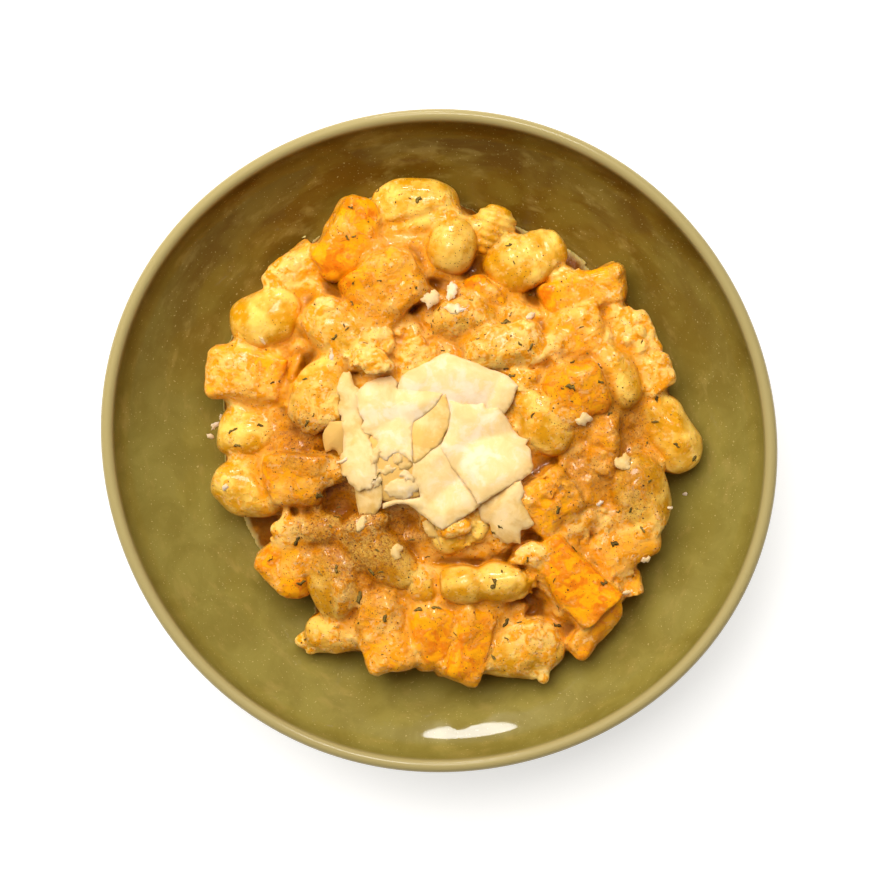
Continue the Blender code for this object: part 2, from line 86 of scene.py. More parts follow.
# The sauce fills the heap up to just under the mean height of the pieces round each place.
LEVEL_SPREAD = 7.5  # how far round a place the mean is taken
LEVEL_SINK = 2.5
EDGE_SPREAD = 9.0
EDGE_UNDER = 3  # how far under the bowl's face the level sinks beyond the heap
HEAP_EDGE = (0.45, 0.72)  # share of the ground that the pieces cover where the sauce starts and is full
HEAP_CENTRE = (4, 3)
MOUND_RADIUS = 58  # under the cheese the sauce is a mound, which the pieces lean on
MOUND_PEAK = 41
MOUND_FALL = 15.5
FILLET = 2.9
BOWL_FILLET = 1.6
MARGIN = 6  # round the food, on the grid
INTO_WALL = 0.3  # how far the sauce's underside is sunk into the bowl, so that no gap shows
FILM = 2.2  # as far over the bowl the sauce is thin and pale
SAUCE_LUMPS = ((4.5, 1.2), (2.4, 0.5))
# How deep a place lies below the heap round it, over these spreads and then blurred, sets the painted shade
# in the food's creases and hollows.
CREASE_SPREADS = (1.8, 4)
CREASE_BLUR = 0.8
SAUCE_SHARE = 0.43  # of its faces that the sauce's mesh keeps
THIN_LUMPS = 0.35  # of the lumps' depth, where the sauce is only a coat
THICK_FROM = 0.3  # over a piece, where the lumps start to deepen
THICK_RISE = 1.5
LUMP_RISE = 0.3  # how far the noise's creases are sunk, and what is between them raised
WALL_STEEPNESS = 0.9  # of the field over the bowl, whose face leans
WALL_FOLLOW = 0.2  # of the sauce's field: how fast its underside rises towards its edge
MOST_OVER_WALL = 0.15
KIND_BLEND = 5  # how wide the colours of dough and squash run into each other

# How thick the sauce lies over each piece. Below zero the piece shows, with patches of sauce.
COAT = {"gnocco": -0.5, "squash": 0.25}
COAT_OF = {
    "gnocco_left_upper": 0.3, "gnocco_left_inner": 0.45, "gnocco_left_tucked": -0.9,
    "gnocco_middle_rear": 0.2, "gnocco_middle_right": 0.5, "gnocco_right_upper": 0.0,
    "gnocco_right_inner": -0.1, "gnocco_right_lower": -0.1, "gnocco_front": -0.1,
    "gnocco_front_corner": -0.1, "gnocco_front_left": 0.25, "gnocco_front_short": 0.0,
    "gnocco_peppered": 0.0, "gnocco_small": 0.0, "squash_tucked": 0.7, "squash_inner_rear": 0.5,
    "squash_right_rear": 0.7, "squash_right_edge": 0.7, "squash_right_bit": 0.5,
    "squash_right_top": -0.3, "squash_right_bar": -0.4, "squash_right_corner": -0.1,
    "squash_left_rear": 0.5, "squash_left_cube": 0.0, "squash_rear_left": -0.1,
    "squash_front_middle": -0.1, "squash_front_wedge": -0.1,
}
COAT_PATCHES = ((9, 0.5), (4, 0.4), (2, 0.2))  # size and strength of the coat's thick and thin places

# Each kind of piece: how rounded its edges are, how far it is let out to make up for that, then
# the size and depth of what bends it, and of the lumps that roughen it.
ROUNDING = {"gnocco": 0.8, "squash": 0.35}
LET_OUT = {"gnocco": 1.0, "squash": 0.6}
BENDS = {"gnocco": (9, 1.1), "squash": (8, 1.0)}
LUMPS = {"gnocco": ((6, 0.45), (3, 0.12)), "squash": ((5, 0.45), (2.2, 0.2))}

# Rough places, such as a broken end: the piece, x and y, how wide and how deep.
ROUGH_SPOTS = (
    ("gnocco_broken", 12, -33, 4, 1.6),
    ("gnocco_front_long", 31, -48, 4, 1.3),
    ("squash_inner_front", 36, -15, 6, 1.2),
    ("squash_right_slice", 53, -3, 6, 0.9),
)
ROUGH_SPOT_LUMP = 1.7
# Grooves: the piece, from x and y to x and y, how wide and how deep.
GROOVES = (
    ("gnocco_rear", -20, 69.5, -2, 75, 1.5, 1.3),
    ("gnocco_left_outer", -66, 5.5, -56, 6.5, 1.3, 0.5),
    ("gnocco_right_outer", 68, 8, 76, 0, 1.4, 0.5),
    ("gnocco_front_long", 12, -40, 15, -52, 2.0, 0.8),
    ("gnocco_left_large", -50, 44, -46, 34, 1.6, 0.7),
)
# Ridges across the length of a piece: how far apart and how deep.
RIDGED = {
    "gnocco_rear_ridged": (2.6, 0.32), "gnocco_rear_right": (3.4, 0.14), "gnocco_left_tucked": (3.2, 0.12),
}

# Lumps of thick sauce: x, y, how far their middle is over what they lie on, length, width and heading.
DOLLOPS = (
    (30, -63, 0, 13, 9, 20), (69, 33, -1, 9, 6, -50), (73, 24, -1, 8, 6, -60), (64, 40, -1, 8, 6, -40),
    (-24, 28, -1, 10, 7, 30), (-12, 36, 1, 13, 10, 0), (-9, 28, 0, 10, 7, 50), (-53, 55, -2, 12, 6, 40),
    (-44, -68, -3, 9, 5, -30), (42, 54, -3, 9, 5, 10), (56, -26, 0, 12, 9, 0), (46, -27, 2, 13, 10, 40),
    (-30, -40, -1, 9, 6, 60), (27, 42, -1, 10, 7, 0), (-36, 44, -1, 8, 6, 0), (-40, 5, -2, 8, 6, 0),
    (24, -56, -2, 10, 6, 10), (70, -28, -2, 9, 6, 60), (1, 48, -1, 9, 7, 0), (60, -60, -4, 7, 5, 40),
    (-16, -9, 1, 15, 11, -20), (-22, -27, 0, 12, 9, 30), (-3, -26, 0, 12, 8, 0), (24, -30, 0, 11, 8, 20),
    (-1, 44, 0, 9, 7, 80), (36, 30, 0, 9, 7, 30), (28, 36, -1, 8, 6, 0), (-35, 8, -1, 7, 6, 0),
    (34, -77, 1, 6.5, 5.5, 90), (-36, -10, 4, 13, 10, -20), (-27, -28, 1, 9, 7, 0), (29, -37, 1, 10, 7, 20),
    (6, -28, 2, 9, 6, 0), (-19, 33, 1, 9, 6, 10), (28, 20, 2, 9, 7, 60), (-21, 25, 4, 13, 7, -5),
    (-22, 18, 0.4, 11, 7, 0), (-50, -29, 4, 11, 9, 30),
)
# Dark hollows between the pieces: x, y, how wide and how deep.
HOLLOWS = (
    (-33, 54, 3.5, 5), (11, 57, 3.5, 5), (32, 49, 3, 4), (-31, -21, 3, 2.5), (-10, -27, 3, 4),
    (-43, -53, 4, 5), (80, -14, 4, 5), (-8, -36, 3, 1.5), (-36, 1, 3, 1.5), (-45.5, 25, 3, 3.5),
)

# The sheets of cheese, lowest first: the solid each one stands for, how far its ends curl up, the
# heading of the line it curls along, how deep its colour is, then its corners. A corner's third number
# is how ragged the side after it is. On two sheets the deeper colour is painted shade.
EDGE_STEP = 0.9
EDGE_ROUGHNESS = 0.05
SHEET_STEP = 0.9
SHEET_JITTER = 0.3
SHEET_MARGIN = 0.5  # between its outline and the points inside it
SHEET_TAPER = 4.0
SHEET_PALE = 10.0  # how far from its edge a sheet is palest
SHEET_THICKNESS = 0.42
SHEET_EDGE = 0.3  # of the sheet's thickness
SHEET_CLEARANCE = 0.1
EDGE_CLEARANCE = 0.05
EDGE_DROOP = 0.8  # the most that a sheet's edge hangs down to meet what is under it
SHEET_STEEPEST = 0.22
SHEET_SAMPLES = 1200
FLAKE_PALER = 0.55
FLAKE_CORNERS = 6
FLAKE_THICKNESS = 0.3
FLAKE_CURL = 0.1
FLAKE_TURN = 0.35  # the most that a corner is out of its place
FLAKE_REACH = (0.7, 1.15)
UNEVEN_SIZE, UNEVEN = 1.6, 0.15  # of the sheets' thickness, as a share
WAVE_SIZE, WAVE = 9, 0.2  # then of their height
RIPPLE_SIZE, RIPPLE = 3, 0.1
GRAIN_SIZE, GRAIN = 1.1, 0.05
THIN_TINT = 0.45  # how much deeper a sheet's colour is at its edge
BARE_TINT = 0.2  # and where no other sheet is under it
SHEET_DRAPE = 30  # how tightly a sheet bends over what it lies on, as a radius
RAGGED = 0.22
TORN = 0.3
SHEETS = (
    ("shaving_front_right", 0.9, 60, 0.3, (
        (12, -20.5), (26.5, -12.8, RAGGED), (27.7, -16.5, RAGGED), (26.5, -19), (30.9, -26.9, RAGGED),
        (26.5, -29.3), (26.5, -34, RAGGED), (20.1, -32.5, RAGGED), (16.9, -29.3, RAGGED), (13.7, -26))),
    ("shaving_left_chip", 0.4, 90, 1.0, (
        (-38, 1.8), (-35.6, 6.1), (-30, 6.5), (-30, -5.4, RAGGED), (-37.2, -3.8))),
    # Its deep tone is painted shade: this sheet lies in the shaded hole beside the strip.
    ("shaving_left_strip", 0.2, 90, 1.1, (
        (-27, 2), (-20, 4), (-9, 0), (-6, -8), (-6, -18), (-13, -20.5), (-19, -19.5), (-25, -17),
        (-27, -8))),
    ("shaving_left_strip", 0.4, 90, 0.5, (
        (-29, -10), (-27.5, -16), (-26.1, -24.1), (-20.9, -24.1), (-18.9, -21.5), (-18.4, -12), (-21, -4),
        (-27, -5))),
    ("shaving_left_strip", 0.5, 80, 0.3, (
        (-33.4, 17), (-32.5, 20), (-31, 22.5, RAGGED), (-29, 22.5), (-27.5, 18), (-24, 15),
        (-24.5, 7, RAGGED), (-22.5, 0, RAGGED), (-20.4, -7), (-20, -12), (-22, -15.8, TORN),
        (-27.7, -15, TORN), (-31.6, -11, RAGGED), (-31.3, -3.8), (-31.8, 8.1, RAGGED),
        (-32.6, 12, RAGGED))),
    ("shaving_middle_flake", 0.2, 0, 0.6, (
        (-15.5, -3), (-12, -3), (-8, -7.5), (-9.5, -9, RAGGED), (-13, -9.5, RAGGED), (-14.8, -7))),
    ("shaving_middle_flake", 0.3, 10, 0.0, (
        (-18, -16, RAGGED), (-16, -13.5, RAGGED), (-12, -12.4, RAGGED), (-8, -12.5, RAGGED), (-5.5, -14),
        (-7, -16.5, TORN), (-12, -19, TORN), (-16, -18.5))),
    ("shaving_front", 0.3, 20, 0.5, (
        (-5.5, -26.5, TORN), (-2, -27), (-0.8, -30), (0.5, -34.5), (-0.8, -32, TORN), (-3.5, -31.5, TORN),
        (-4.5, -30))),
    ("shaving_front", 0.5, 0, 0.15, (
        (-8.2, -5), (0, 0), (10, -3), (20, -12), (12.8, -21.6), (7, -25.4), (1.2, -29), (-2.2, -27),
        (-7.8, -22.3), (-10, -20.9), (-14, -20.6), (-18.4, -22.2), (-18.4, -20.4), (-14, -19.2),
        (-9.5, -18.9), (-6.2, -18.4), (-6.8, -15, RAGGED), (-7.8, -13, TORN), (-8.4, -9))),
    ("shaving_rear", 0.4, 20, -0.05, (
        (-13.9, 14), (-13.5, 17.5), (-12.2, 21), (-6, 24.5), (-1.5, 27), (2.6, 28.6), (7.4, 26.8),
        (15, 23.8), (22.5, 20.9), (25.7, 17.7), (23.6, 12.1), (20, 7), (5, 3), (-6, 6))),
    ("shaving_right", 0.6, -30, 0.05, (
        (3.4, 12.9), (8, 11.8, RAGGED), (13, 12, RAGGED), (19.3, 10.8), (21.5, 8), (23.3, 5), (26, 1.5),
        (29.3, 0.3), (28.3, -1.2), (29.8, -3), (30.6, -8.6), (29.8, -10.6), (24, -14), (12.6, -20.8),
        (11.3, -18), (9, -15), (4, -9), (0.4, -2.2), (3, 4), (3.4, 10))),
    # Its tan tone is painted shade, for the part that curls down away from the light.
    ("shaving_left_top", 0.3, 150, 0.65, (
        (-10, 4), (-8, 9), (-3, 13), (2.2, 15.2), (3.8, 8.9), (3, 4), (1, 0), (-2.2, -3), (-5, -5.6),
        (-7.8, -7.4), (-9.5, -6))),
    ("shaving_left_top", 0.6, 10, 0.05, (
        (-27.3, 14.9), (-25.5, 17.2), (-23.7, 18.9), (-20, 20.4), (-15.7, 21.2), (-14.3, 20, TORN),
        (-13.6, 16.8), (-8, 16.3), (-3, 16), (1.2, 15.4), (-1, 11.5), (-5, 8), (-8.3, 6.1), (-8.7, 0),
        (-8.6, -7.2, RAGGED), (-11.3, -5, RAGGED), (-14.1, -4.2, RAGGED), (-16.5, -6.6),
        (-18.1, -6.2, RAGGED), (-20.5, -2.2, TORN), (-22.9, 2, TORN), (-24.9, 7.3, RAGGED), (-26.4, 12))),
)

# Loose flakes: middle x and y, length, width, heading and how deep their colour is.
FLAKES = (
    (-3, 46, 8, 6, 70, 0.5), (4, 49, 9, 4.5, 80, 0.3), (5, 43, 8, 4, 10, 0.3), (47, 7, 7, 5, 0, 0.4),
    (60, -7, 7, 6.5, 30, 0.9), (-14, -36.5, 6.5, 4, 75, 1.0), (-25, -27, 6, 3.5, 60, 1.0),
    (-35, 28, 5, 1.6, 95, 0.2), (-31.5, -6.5, 5, 2, 20, 0.2), (-76, 5, 4, 2.4, 40, 0.1),
    (-77.5, 1.5, 3, 1.8, -30, 0.1), (-74, 8, 2.6, 1.6, 80, 0.1), (-70.5, -15.5, 3, 1.6, 70, 0.2),
    (68, -39, 3.6, 2.6, 30, 0.1), (62, -50, 3.2, 1.6, 10, 0.1), (83, -18, 2, 1.5, 0, 0.1),
    (52.5, -20.5, 3, 2, 40, 0), (76, -22, 2.2, 1.4, 0, 0.1), (30, 41, 4, 2, 40, 0.2),
    (-58, 33, 4, 1.6, -60, 0.2), (-20.5, -4.5, 7, 3.6, 70, 0.9), (-17, -9.5, 6.5, 3.6, 15, 0.8),
    (-10.5, -12, 6, 4, -40, 0.6), (-20, -13.5, 5, 3, 50, 0.8), (-13, -6, 4.5, 3, 80, 0.9),
)

# Dried leaves that stand out: x, y, length and heading.
HERBS = (
    (-6.8, 79, 3, 60), (-27.9, 66.8, 2, 20), (51.5, 56.2, 3.2, 5), (22.9, 63.9, 2.5, 30),
    (-34, 33.7, 3, 40), (29.5, 30.2, 3.5, 50), (26.1, 31.2, 2, -50), (21.5, 38.5, 4, 30),
    (43.3, 25.4, 3, 60), (42.5, 17.4, 4, -20), (52, 18.9, 2.5, -20), (52, 24, 3, 70), (-67.8, 3.3, 4, 25),
    (-59, 5, 2.5, 0), (-54.7, 18.9, 2, 30), (-43.1, 5.8, 3, 60), (-66.3, -1.5, 3, 0), (-47, -32.7, 4, 60),
    (-45.6, -46.7, 4, 10), (-33.7, -42, 3.5, 80), (-22, -42.8, 3.5, -50), (-17.7, -57.8, 3, 60),
    (-6.8, -55.6, 3.5, -10), (-1, -54.9, 4, 0), (17.9, -46.7, 4, 50), (21.8, -60, 4, 60),
    (38.9, -61.2, 3.5, -10), (53.4, -46.7, 3, 0), (57.5, -33.7, 3, 0), (66.5, -29, 3, -60),
    (38.5, -22.5, 3, 60), (44, -35.6, 3, -50), (62.6, -22.5, 2.5, 70), (78, -1.5, 3, -40),
    (71.3, 6.2, 3, 15), (71.6, 13.8, 2.5, 80), (84, -5.8, 2.5, 40), (55.6, 8.7, 2.5, 40),
    (-39.5, -18.1, 4, 0), (17.9, -71.1, 2.5, -60), (22.2, -65.3, 2, -40), (23.7, 21, 3, 15),
    (-25.7, -51.5, 5, 80), (20, -28, 2.2, -15), (18, -30, 2.5, -10), (-19.7, -11, 2.2, 60),
    (-18.8, -13.6, 1.5, 80), (-21, -12.4, 1.2, 10),
)

# Where spice lies thickest: x, y, how wide and how thick. The patches at -31, -19 and -10, -28 are painted
# shadow, the dark shade beside the cheese strip and under its front edge.
SPICE_AND_SHADOW_PATCHES = (
    (-46, 0, 7, 2.2), (-37, -28, 8, 2.0), (-21, -33, 8, 2.0), (62, 6, 6, 1.8), (46, -8, 8, 1.2),
    (8, 38, 9, 0.8), (-20, 45, 10, 0.7), (58, -20, 12, 0.7), (-30, -48, 14, 0.8), (20, -58, 16, 0.5),
    (40, 20, 12, 0.6), (10, 62, 12, 0.6), (-31, -19, 5, 2.0), (-10, -28, 6, 1.4), (-24, -44, 12, 0.6),
    (66, -14, 7, 1.0),
)

SMALL_LEAVES = 70
SPECKS = 8000
LEAST_FOOD = 3  # over the bowl, where leaves and specks lie
FOOD_CORNERS = ((-84, -84), (90, 90))
LEAF_LENGTHS = (0.8, 2.4)
LEAF_WIDTH = 0.6  # of a small leaf
HERB_WIDTH = 0.42  # of a large one, as a share of its length
SPECK_SIZES = (0.1, 0.26)
COARSE_SHARE = 0.06  # of the specks
COARSE_SIZE = 1.8  # times as large as the others

# Where each kind of random draw starts.
COAT_SEED, SAUCE_SEED, SHEET_SEED, FLAKE_SEED = 20, 500, 40, 80
CORNER_SEED, HERB_SEED, SPECK_SEED = 8, 21, 22

CAMERA_LENS = 75
CAMERA_ASIDE = (0.3, 0.2)
FRAME_WIDTH = 286  # across the view at the height of the rim
SENSOR_WIDTH = 36
LIGHT_DISTANCE = 1.1  # in metres, as are the lights' and the floor's sizes
WARM = (1, 0.97, 0.92)
FLOOR_SIZE = 8
FLOOR_COLOUR = (203.4,) * 3
FLOOR_CLOUDS = (206.4,) * 3


# ---- fields ----


def grid_axes(low, high):
    return [np.arange(math.floor(a / STEP), math.ceil(b / STEP) + 1) * STEP for a, b in zip(low, high)]


def grid_points(axes):
    return np.stack(np.meshgrid(*axes, indexing="ij"), axis=-1)


def eased(share):
    """A share from 0 to 1 that starts and ends gently."""
    return share * share * (3 - 2 * share)


def smooth_noise(points, size, seed):
    """Noise between -1 and 1 at these points, with lumps of about this size in no set direction."""
    rng = np.random.default_rng(seed)
    count = points.shape[-1]
    lattice = rng.uniform(-1, 1, (NOISE_PERIOD,) * count).astype(np.float32)
    turn = np.linalg.qr(rng.normal(size=(count, count)))[0]
    place = points @ turn / size + NOISE_SHIFT
    cell = np.floor(place).astype(int)
    share = eased((place - cell).astype(np.float32))
    noise = np.zeros(points.shape[:-1], np.float32)
    for corner in itertools.product((0, 1), repeat=count):
        weight = np.prod(np.where(corner, share, 1 - share), axis=-1)
        noise += weight * lattice[tuple(np.moveaxis((cell + corner) % NOISE_PERIOD, -1, 0))]
    return noise


def smooth_union(a, b, width):
    """The smaller of two fields, with the corner between them filled over this width."""
    corner = np.maximum(width - np.abs(a - b), 0)
    return np.minimum(a, b) - corner * corner / (4 * width)


def vectors(items, name, kind=float):
    """What each of a mesh's vertices or faces has under this name, one to a row."""
    values = np.empty(len(items) * 3, kind)
    items.foreach_get(name, values)
    return values.reshape(-1, 3)


def flat_faces(node):
    """Normals and distances of the flat faces of a convex CAD node."""
    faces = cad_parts[node].data.polygons
    normals = vectors(faces, "normal")
    offsets = (normals * vectors(faces, "center")).sum(axis=1) / MM
    _, first = np.unique(np.round(np.column_stack((normals, offsets)), 2), axis=0, return_index=True)
    return normals[first], offsets[first]


def rounded_solid(node, points, rounding):
    """The field of a convex CAD node with its edges rounded."""
    normals, offsets = flat_faces(node)
    reach = points.reshape(-1, 3) @ normals.T - offsets
    furthest = reach.max(axis=1)
    spread = np.exp((reach - furthest[:, None]) / rounding).sum(axis=1)
    return (furthest + rounding * np.log(spread)).reshape(points.shape[:-1])


def main_axis(node):
    """The direction in which a piece is longest."""
    points = vectors(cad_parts[node].data.vertices, "co")
    return np.linalg.svd(points - points.mean(axis=0))[2][0]


def near_segment(x, y, start, end):
    """Distance in plan from the line between two places."""
    along = np.array(end, float) - start
    share = ((x - start[0]) * along[0] + (y - start[1]) * along[1]) / (along @ along)
    share = np.clip(share, 0, 1)
    return np.hypot(x - start[0] - share * along[0], y - start[1] - share * along[1])


def piece_field(node, axes, seed):
    """The field of a cooked piece: the solid, bent, lumpy, and marked as the tables say."""
    kind = node.split("_")[0]
    rounding = ROUNDING[kind]
    whole = rounded_solid(node, grid_points(axes), rounding) - LET_OUT[kind]
    band = np.abs(whole) < BAND
    points = grid_points(axes)[band]
    size, depth = BENDS[kind]
    bend = np.stack([smooth_noise(points, size, seed + i) for i in range(3)], axis=-1)
    field = rounded_solid(node, points + depth * bend, rounding) - LET_OUT[kind]
    for i, (size, depth) in enumerate(LUMPS[kind]):
        field += depth * smooth_noise(points, size, seed + 10 + i)
    x, y = points[:, 0], points[:, 1]
    for i, (name, *place, width, depth) in enumerate(ROUGH_SPOTS):
        if name == node:
            reach = np.exp(-((x - place[0]) ** 2 + (y - place[1]) ** 2) / (2 * width**2))
            field += reach * depth * smooth_noise(points, ROUGH_SPOT_LUMP, seed + 30 + i)
    for name, start_x, start_y, end_x, end_y, width, depth in GROOVES:
        if name == node:
            away = near_segment(x, y, (start_x, start_y), (end_x, end_y))
            field += depth * np.exp(-((away / width) ** 2))
    if node in RIDGED:
        spacing, depth = RIDGED[node]
        field += depth * np.cos(points @ main_axis(node) * 2 * math.pi / spacing)
    whole[band] = field
    return whole


# ---- meshes ----


def make_mesh(name, points, faces):
    """A mesh from points in millimetres and faces that all have the same number of corners."""
    mesh = bpy.data.meshes.new(name)
    corners = faces.shape[1]
    mesh.vertices.add(len(points))
    mesh.vertices.foreach_set("co", (points * MM).astype(np.float32).ravel())
    mesh.loops.add(faces.size)
    mesh.loops.foreach_set("vertex_index", faces.astype(np.int32).ravel())
    mesh.polygons.add(len(faces))
    mesh.polygons.foreach_set("loop_start", np.arange(0, faces.size, corners, dtype=np.int32))
    mesh.update(calc_edges=True)
    mesh.validate()
    mesh.shade_smooth()
    return mesh


def joined(name, parts, attribute):
    """One mesh of many parts, which are each its points, its faces and a value for each point."""
    points, faces, values = zip(*parts)
    starts = np.cumsum([0] + [len(part) for part in points])
    faces = [part + start for part, start in zip(faces, starts)]
    mesh = make_mesh(name, np.concatenate(points), np.concatenate(faces))
    add_attribute(mesh, attribute, np.concatenate(values))
    return mesh


def add_attribute(mesh, name, values):
    mesh.attributes.new(name, "FLOAT", "POINT").data.foreach_set("value", values.astype(np.float32))


def add_object(name, data):
    made = bpy.data.objects.new(name, data)
    bpy.context.scene.collection.objects.link(made)
    return made


def make_piece(name, mesh, material, slot, *nodes):
    mesh.materials.append(material)
    piece = add_object(name, mesh)
    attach(piece, "root")
    if nodes:
        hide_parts(*nodes)


def zero_surface(name, field, axes):
    """The mesh of the field's zero surface."""
    grid = openvdb.FloatGrid(float(field.max()))
    grid.copyFromArray(np.ascontiguousarray(field, dtype=np.float32))
    points, _, quads = grid.convertToPolygons(isovalue=0.0, adaptivity=0.0)
    origin = np.array([axis[0] for axis in axes])
    return make_mesh(name, points * STEP + origin, quads[:, ::-1])


def with_fewer_faces(mesh, share):
    """The mesh with this share of its triangles, most of them kept where it is least flat."""
    holder = add_object("holder", mesh)
    holder.modifiers.new("fewer", "DECIMATE").ratio = share
    graph = bpy.context.evaluated_depsgraph_get()
    thinned = bpy.data.meshes.new_from_object(holder.evaluated_get(graph))
    thinned.name = mesh.name
    bpy.data.objects.remove(holder)
    bpy.data.meshes.remove(mesh)
    thinned.shade_smooth()
    return thinned


# ---- the bowl's shape ----


def rim_factor(angle):
    oval = RIM_OVAL * np.cos(2 * (angle - RIM_OVAL_AXIS))
    square = RIM_SQUARE * np.cos(4 * (angle - RIM_SQUARE_AXIS))
    return 1 + oval + square


BELLY_CENTRE = (FLOOR_RADIUS, FLOOR_HEIGHT + BELLY_RADIUS)
SHOULDER_CENTRE = (
    BELLY_CENTRE[0] + (BELLY_RADIUS - SHOULDER_RADIUS) * math.sin(BELLY_ANGLE),
    BELLY_CENTRE[1] - (BELLY_RADIUS - SHOULDER_RADIUS) * math.cos(BELLY_ANGLE),
)


def arc(centre, radius, start, end, steps):
    slopes = [start + (end - start) * i / steps for i in range(steps + 1)]
    return [(centre[0] + radius * math.sin(s), centre[1] - radius * math.cos(s)) for s in slopes]


def arc_on(start, radius, slope, end_slope, steps):
    """An arc that goes on from a place at this slope."""
    centre = (start[0] - radius * math.sin(slope), start[1] + radius * math.cos(slope))
    return arc(centre, radius, slope, end_slope, steps)[1:]


def inner_profile():
    """The glazed face, from the middle of the floor to where the lip starts."""
    slope = math.asin((FLARE_RADIUS - FLOOR_RADIUS) / BELLY_RADIUS)
    points = arc(BELLY_CENTRE, BELLY_RADIUS, 0, slope, 24)
    flare_slope = math.asin(math.sin(slope) + (FLARE_END_RADIUS - FLARE_RADIUS) / FLARE_CURVE)
    points += arc_on(points[-1], FLARE_CURVE, slope, flare_slope, 12)
    lip_start = arc(SHOULDER_CENTRE, SHOULDER_RADIUS, 0, SHOULDER_ANGLE, 1)[-1]
    run, rise = lip_start[0] - points[-1][0], lip_start[1] - points[-1][1]
    lip_slope = 2 * math.atan2(rise, run) - flare_slope
    radius = run / (math.sin(lip_slope) - math.sin(flare_slope))
    return points + arc_on(points[-1], radius, flare_slope, lip_slope, 12)


def bowl_profile():
    """(radius, height) from the middle of the floor, over the rim, to the middle of the underside."""
    inner = inner_profile()
    outer = arc(SHOULDER_CENTRE, SHOULDER_RADIUS + WALL, SHOULDER_ANGLE, BELLY_ANGLE, 10)
    foot_slope = math.asin((FOOT_OUTER - FLOOR_RADIUS) / (BELLY_RADIUS + WALL))
    outer += arc(BELLY_CENTRE, BELLY_RADIUS + WALL, BELLY_ANGLE, foot_slope, 14)[1:]
    middle = [(a + b) / 2 for a, b in zip(inner[-1], outer[0])]
    lip = arc(middle, WALL / 2, SHOULDER_ANGLE + math.pi, SHOULDER_ANGLE, 14)[1:-1]
    foot_inner = FOOT_OUTER - FOOT_WIDTH
    foot = arc((FOOT_OUTER - FOOT_EDGE, FOOT_EDGE), FOOT_EDGE, math.pi / 2, 0, 4)
    foot += arc((foot_inner + FOOT_EDGE, FOOT_EDGE), FOOT_EDGE, 0, -math.pi / 2, 4)
    foot += [(foot_inner - UNDERSIDE_HEIGHT / 2, UNDERSIDE_HEIGHT)]
    return [(0, FLOOR_HEIGHT)] + inner + lip + outer + foot + [(0, UNDERSIDE_HEIGHT)]


PROFILE = bowl_profile()
PROFILE_SCALE = RIM_RADIUS / max(x for x, _ in PROFILE)
RIM_HEIGHT = max(z for _, z in PROFILE)


def cavity_height(x, y):
    """Height of the bowl's inner face."""
    radius = np.hypot(x, y) / (rim_factor(np.arctan2(y, x)) * PROFILE_SCALE)
    belly_end = BELLY_CENTRE[0] + BELLY_RADIUS * math.sin(BELLY_ANGLE)
    belly = np.clip((radius - BELLY_CENTRE[0]) / BELLY_RADIUS, 0, math.sin(BELLY_ANGLE))
    shoulder = np.clip((radius - SHOULDER_CENTRE[0]) / SHOULDER_RADIUS, 0, math.sin(SHOULDER_ANGLE))
    low = BELLY_CENTRE[1] - BELLY_RADIUS * np.sqrt(1 - belly**2)
    high = SHOULDER_CENTRE[1] - SHOULDER_RADIUS * np.sqrt(1 - shoulder**2)
    return np.where(radius < belly_end, low, high)


def bowl_mesh():
    angles = np.arange(BOWL_SEGMENTS) * 2 * math.pi / BOWL_SEGMENTS
    factors = rim_factor(angles) * PROFILE_SCALE
    across, along = factors * np.cos(angles), factors * np.sin(angles)
    level = np.ones(BOWL_SEGMENTS)
    points = [np.column_stack((x * across, x * along, z * level)) for x, z in PROFILE[1:-1]]
    here = np.arange(BOWL_SEGMENTS)
    there = (here + 1) % BOWL_SEGMENTS
    last = (len(points) - 1) * BOWL_SEGMENTS
    top, under = last + BOWL_SEGMENTS, last + BOWL_SEGMENTS + 1
    starts = range(0, last, BOWL_SEGMENTS)
    near = np.concatenate([np.column_stack((start + here, start + there)) for start in starts])
    far = near + BOWL_SEGMENTS
    faces = np.concatenate((
        np.column_stack((far[:, 0], far[:, 1], near[:, 1])),
        np.column_stack((far[:, 0], near[:, 1], near[:, 0])),
        np.column_stack((np.full_like(here, top), here, there)),
        np.column_stack((np.full_like(here, under), last + there, last + here)),
    ))
    points += [[(0, 0, PROFILE[0][1])], [(0, 0, PROFILE[-1][1])]]
    return make_mesh("stoneware_bowl", np.concatenate(points), faces)


# ---- heap: the pieces and the sauce ----


def heap_nodes():
    return [name for name in sorted(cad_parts) if name.split("_")[0] in COAT]


def piece_axes(node, margin):
    low, high = (np.array(corner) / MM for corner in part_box(node))
    return grid_axes(low - margin, high + margin)


def block(axes, inner_axes):
    """The slices of the large grid that the smaller grid covers."""
    starts = [round((inner[0] - axis[0]) / STEP) for axis, inner in zip(axes, inner_axes)]
    return tuple(slice(start, start + len(inner)) for start, inner in zip(starts, inner_axes))


def blurred(plan, width):
    """The plan's values averaged round each place."""
    across, along = (np.fft.fftfreq(count, STEP) for count in plan.shape)
    weight = np.exp(-2 * (math.pi * width) ** 2 * (across[:, None] ** 2 + along[None, :] ** 2))
    return np.fft.ifft2(np.fft.fft2(plan) * weight).real


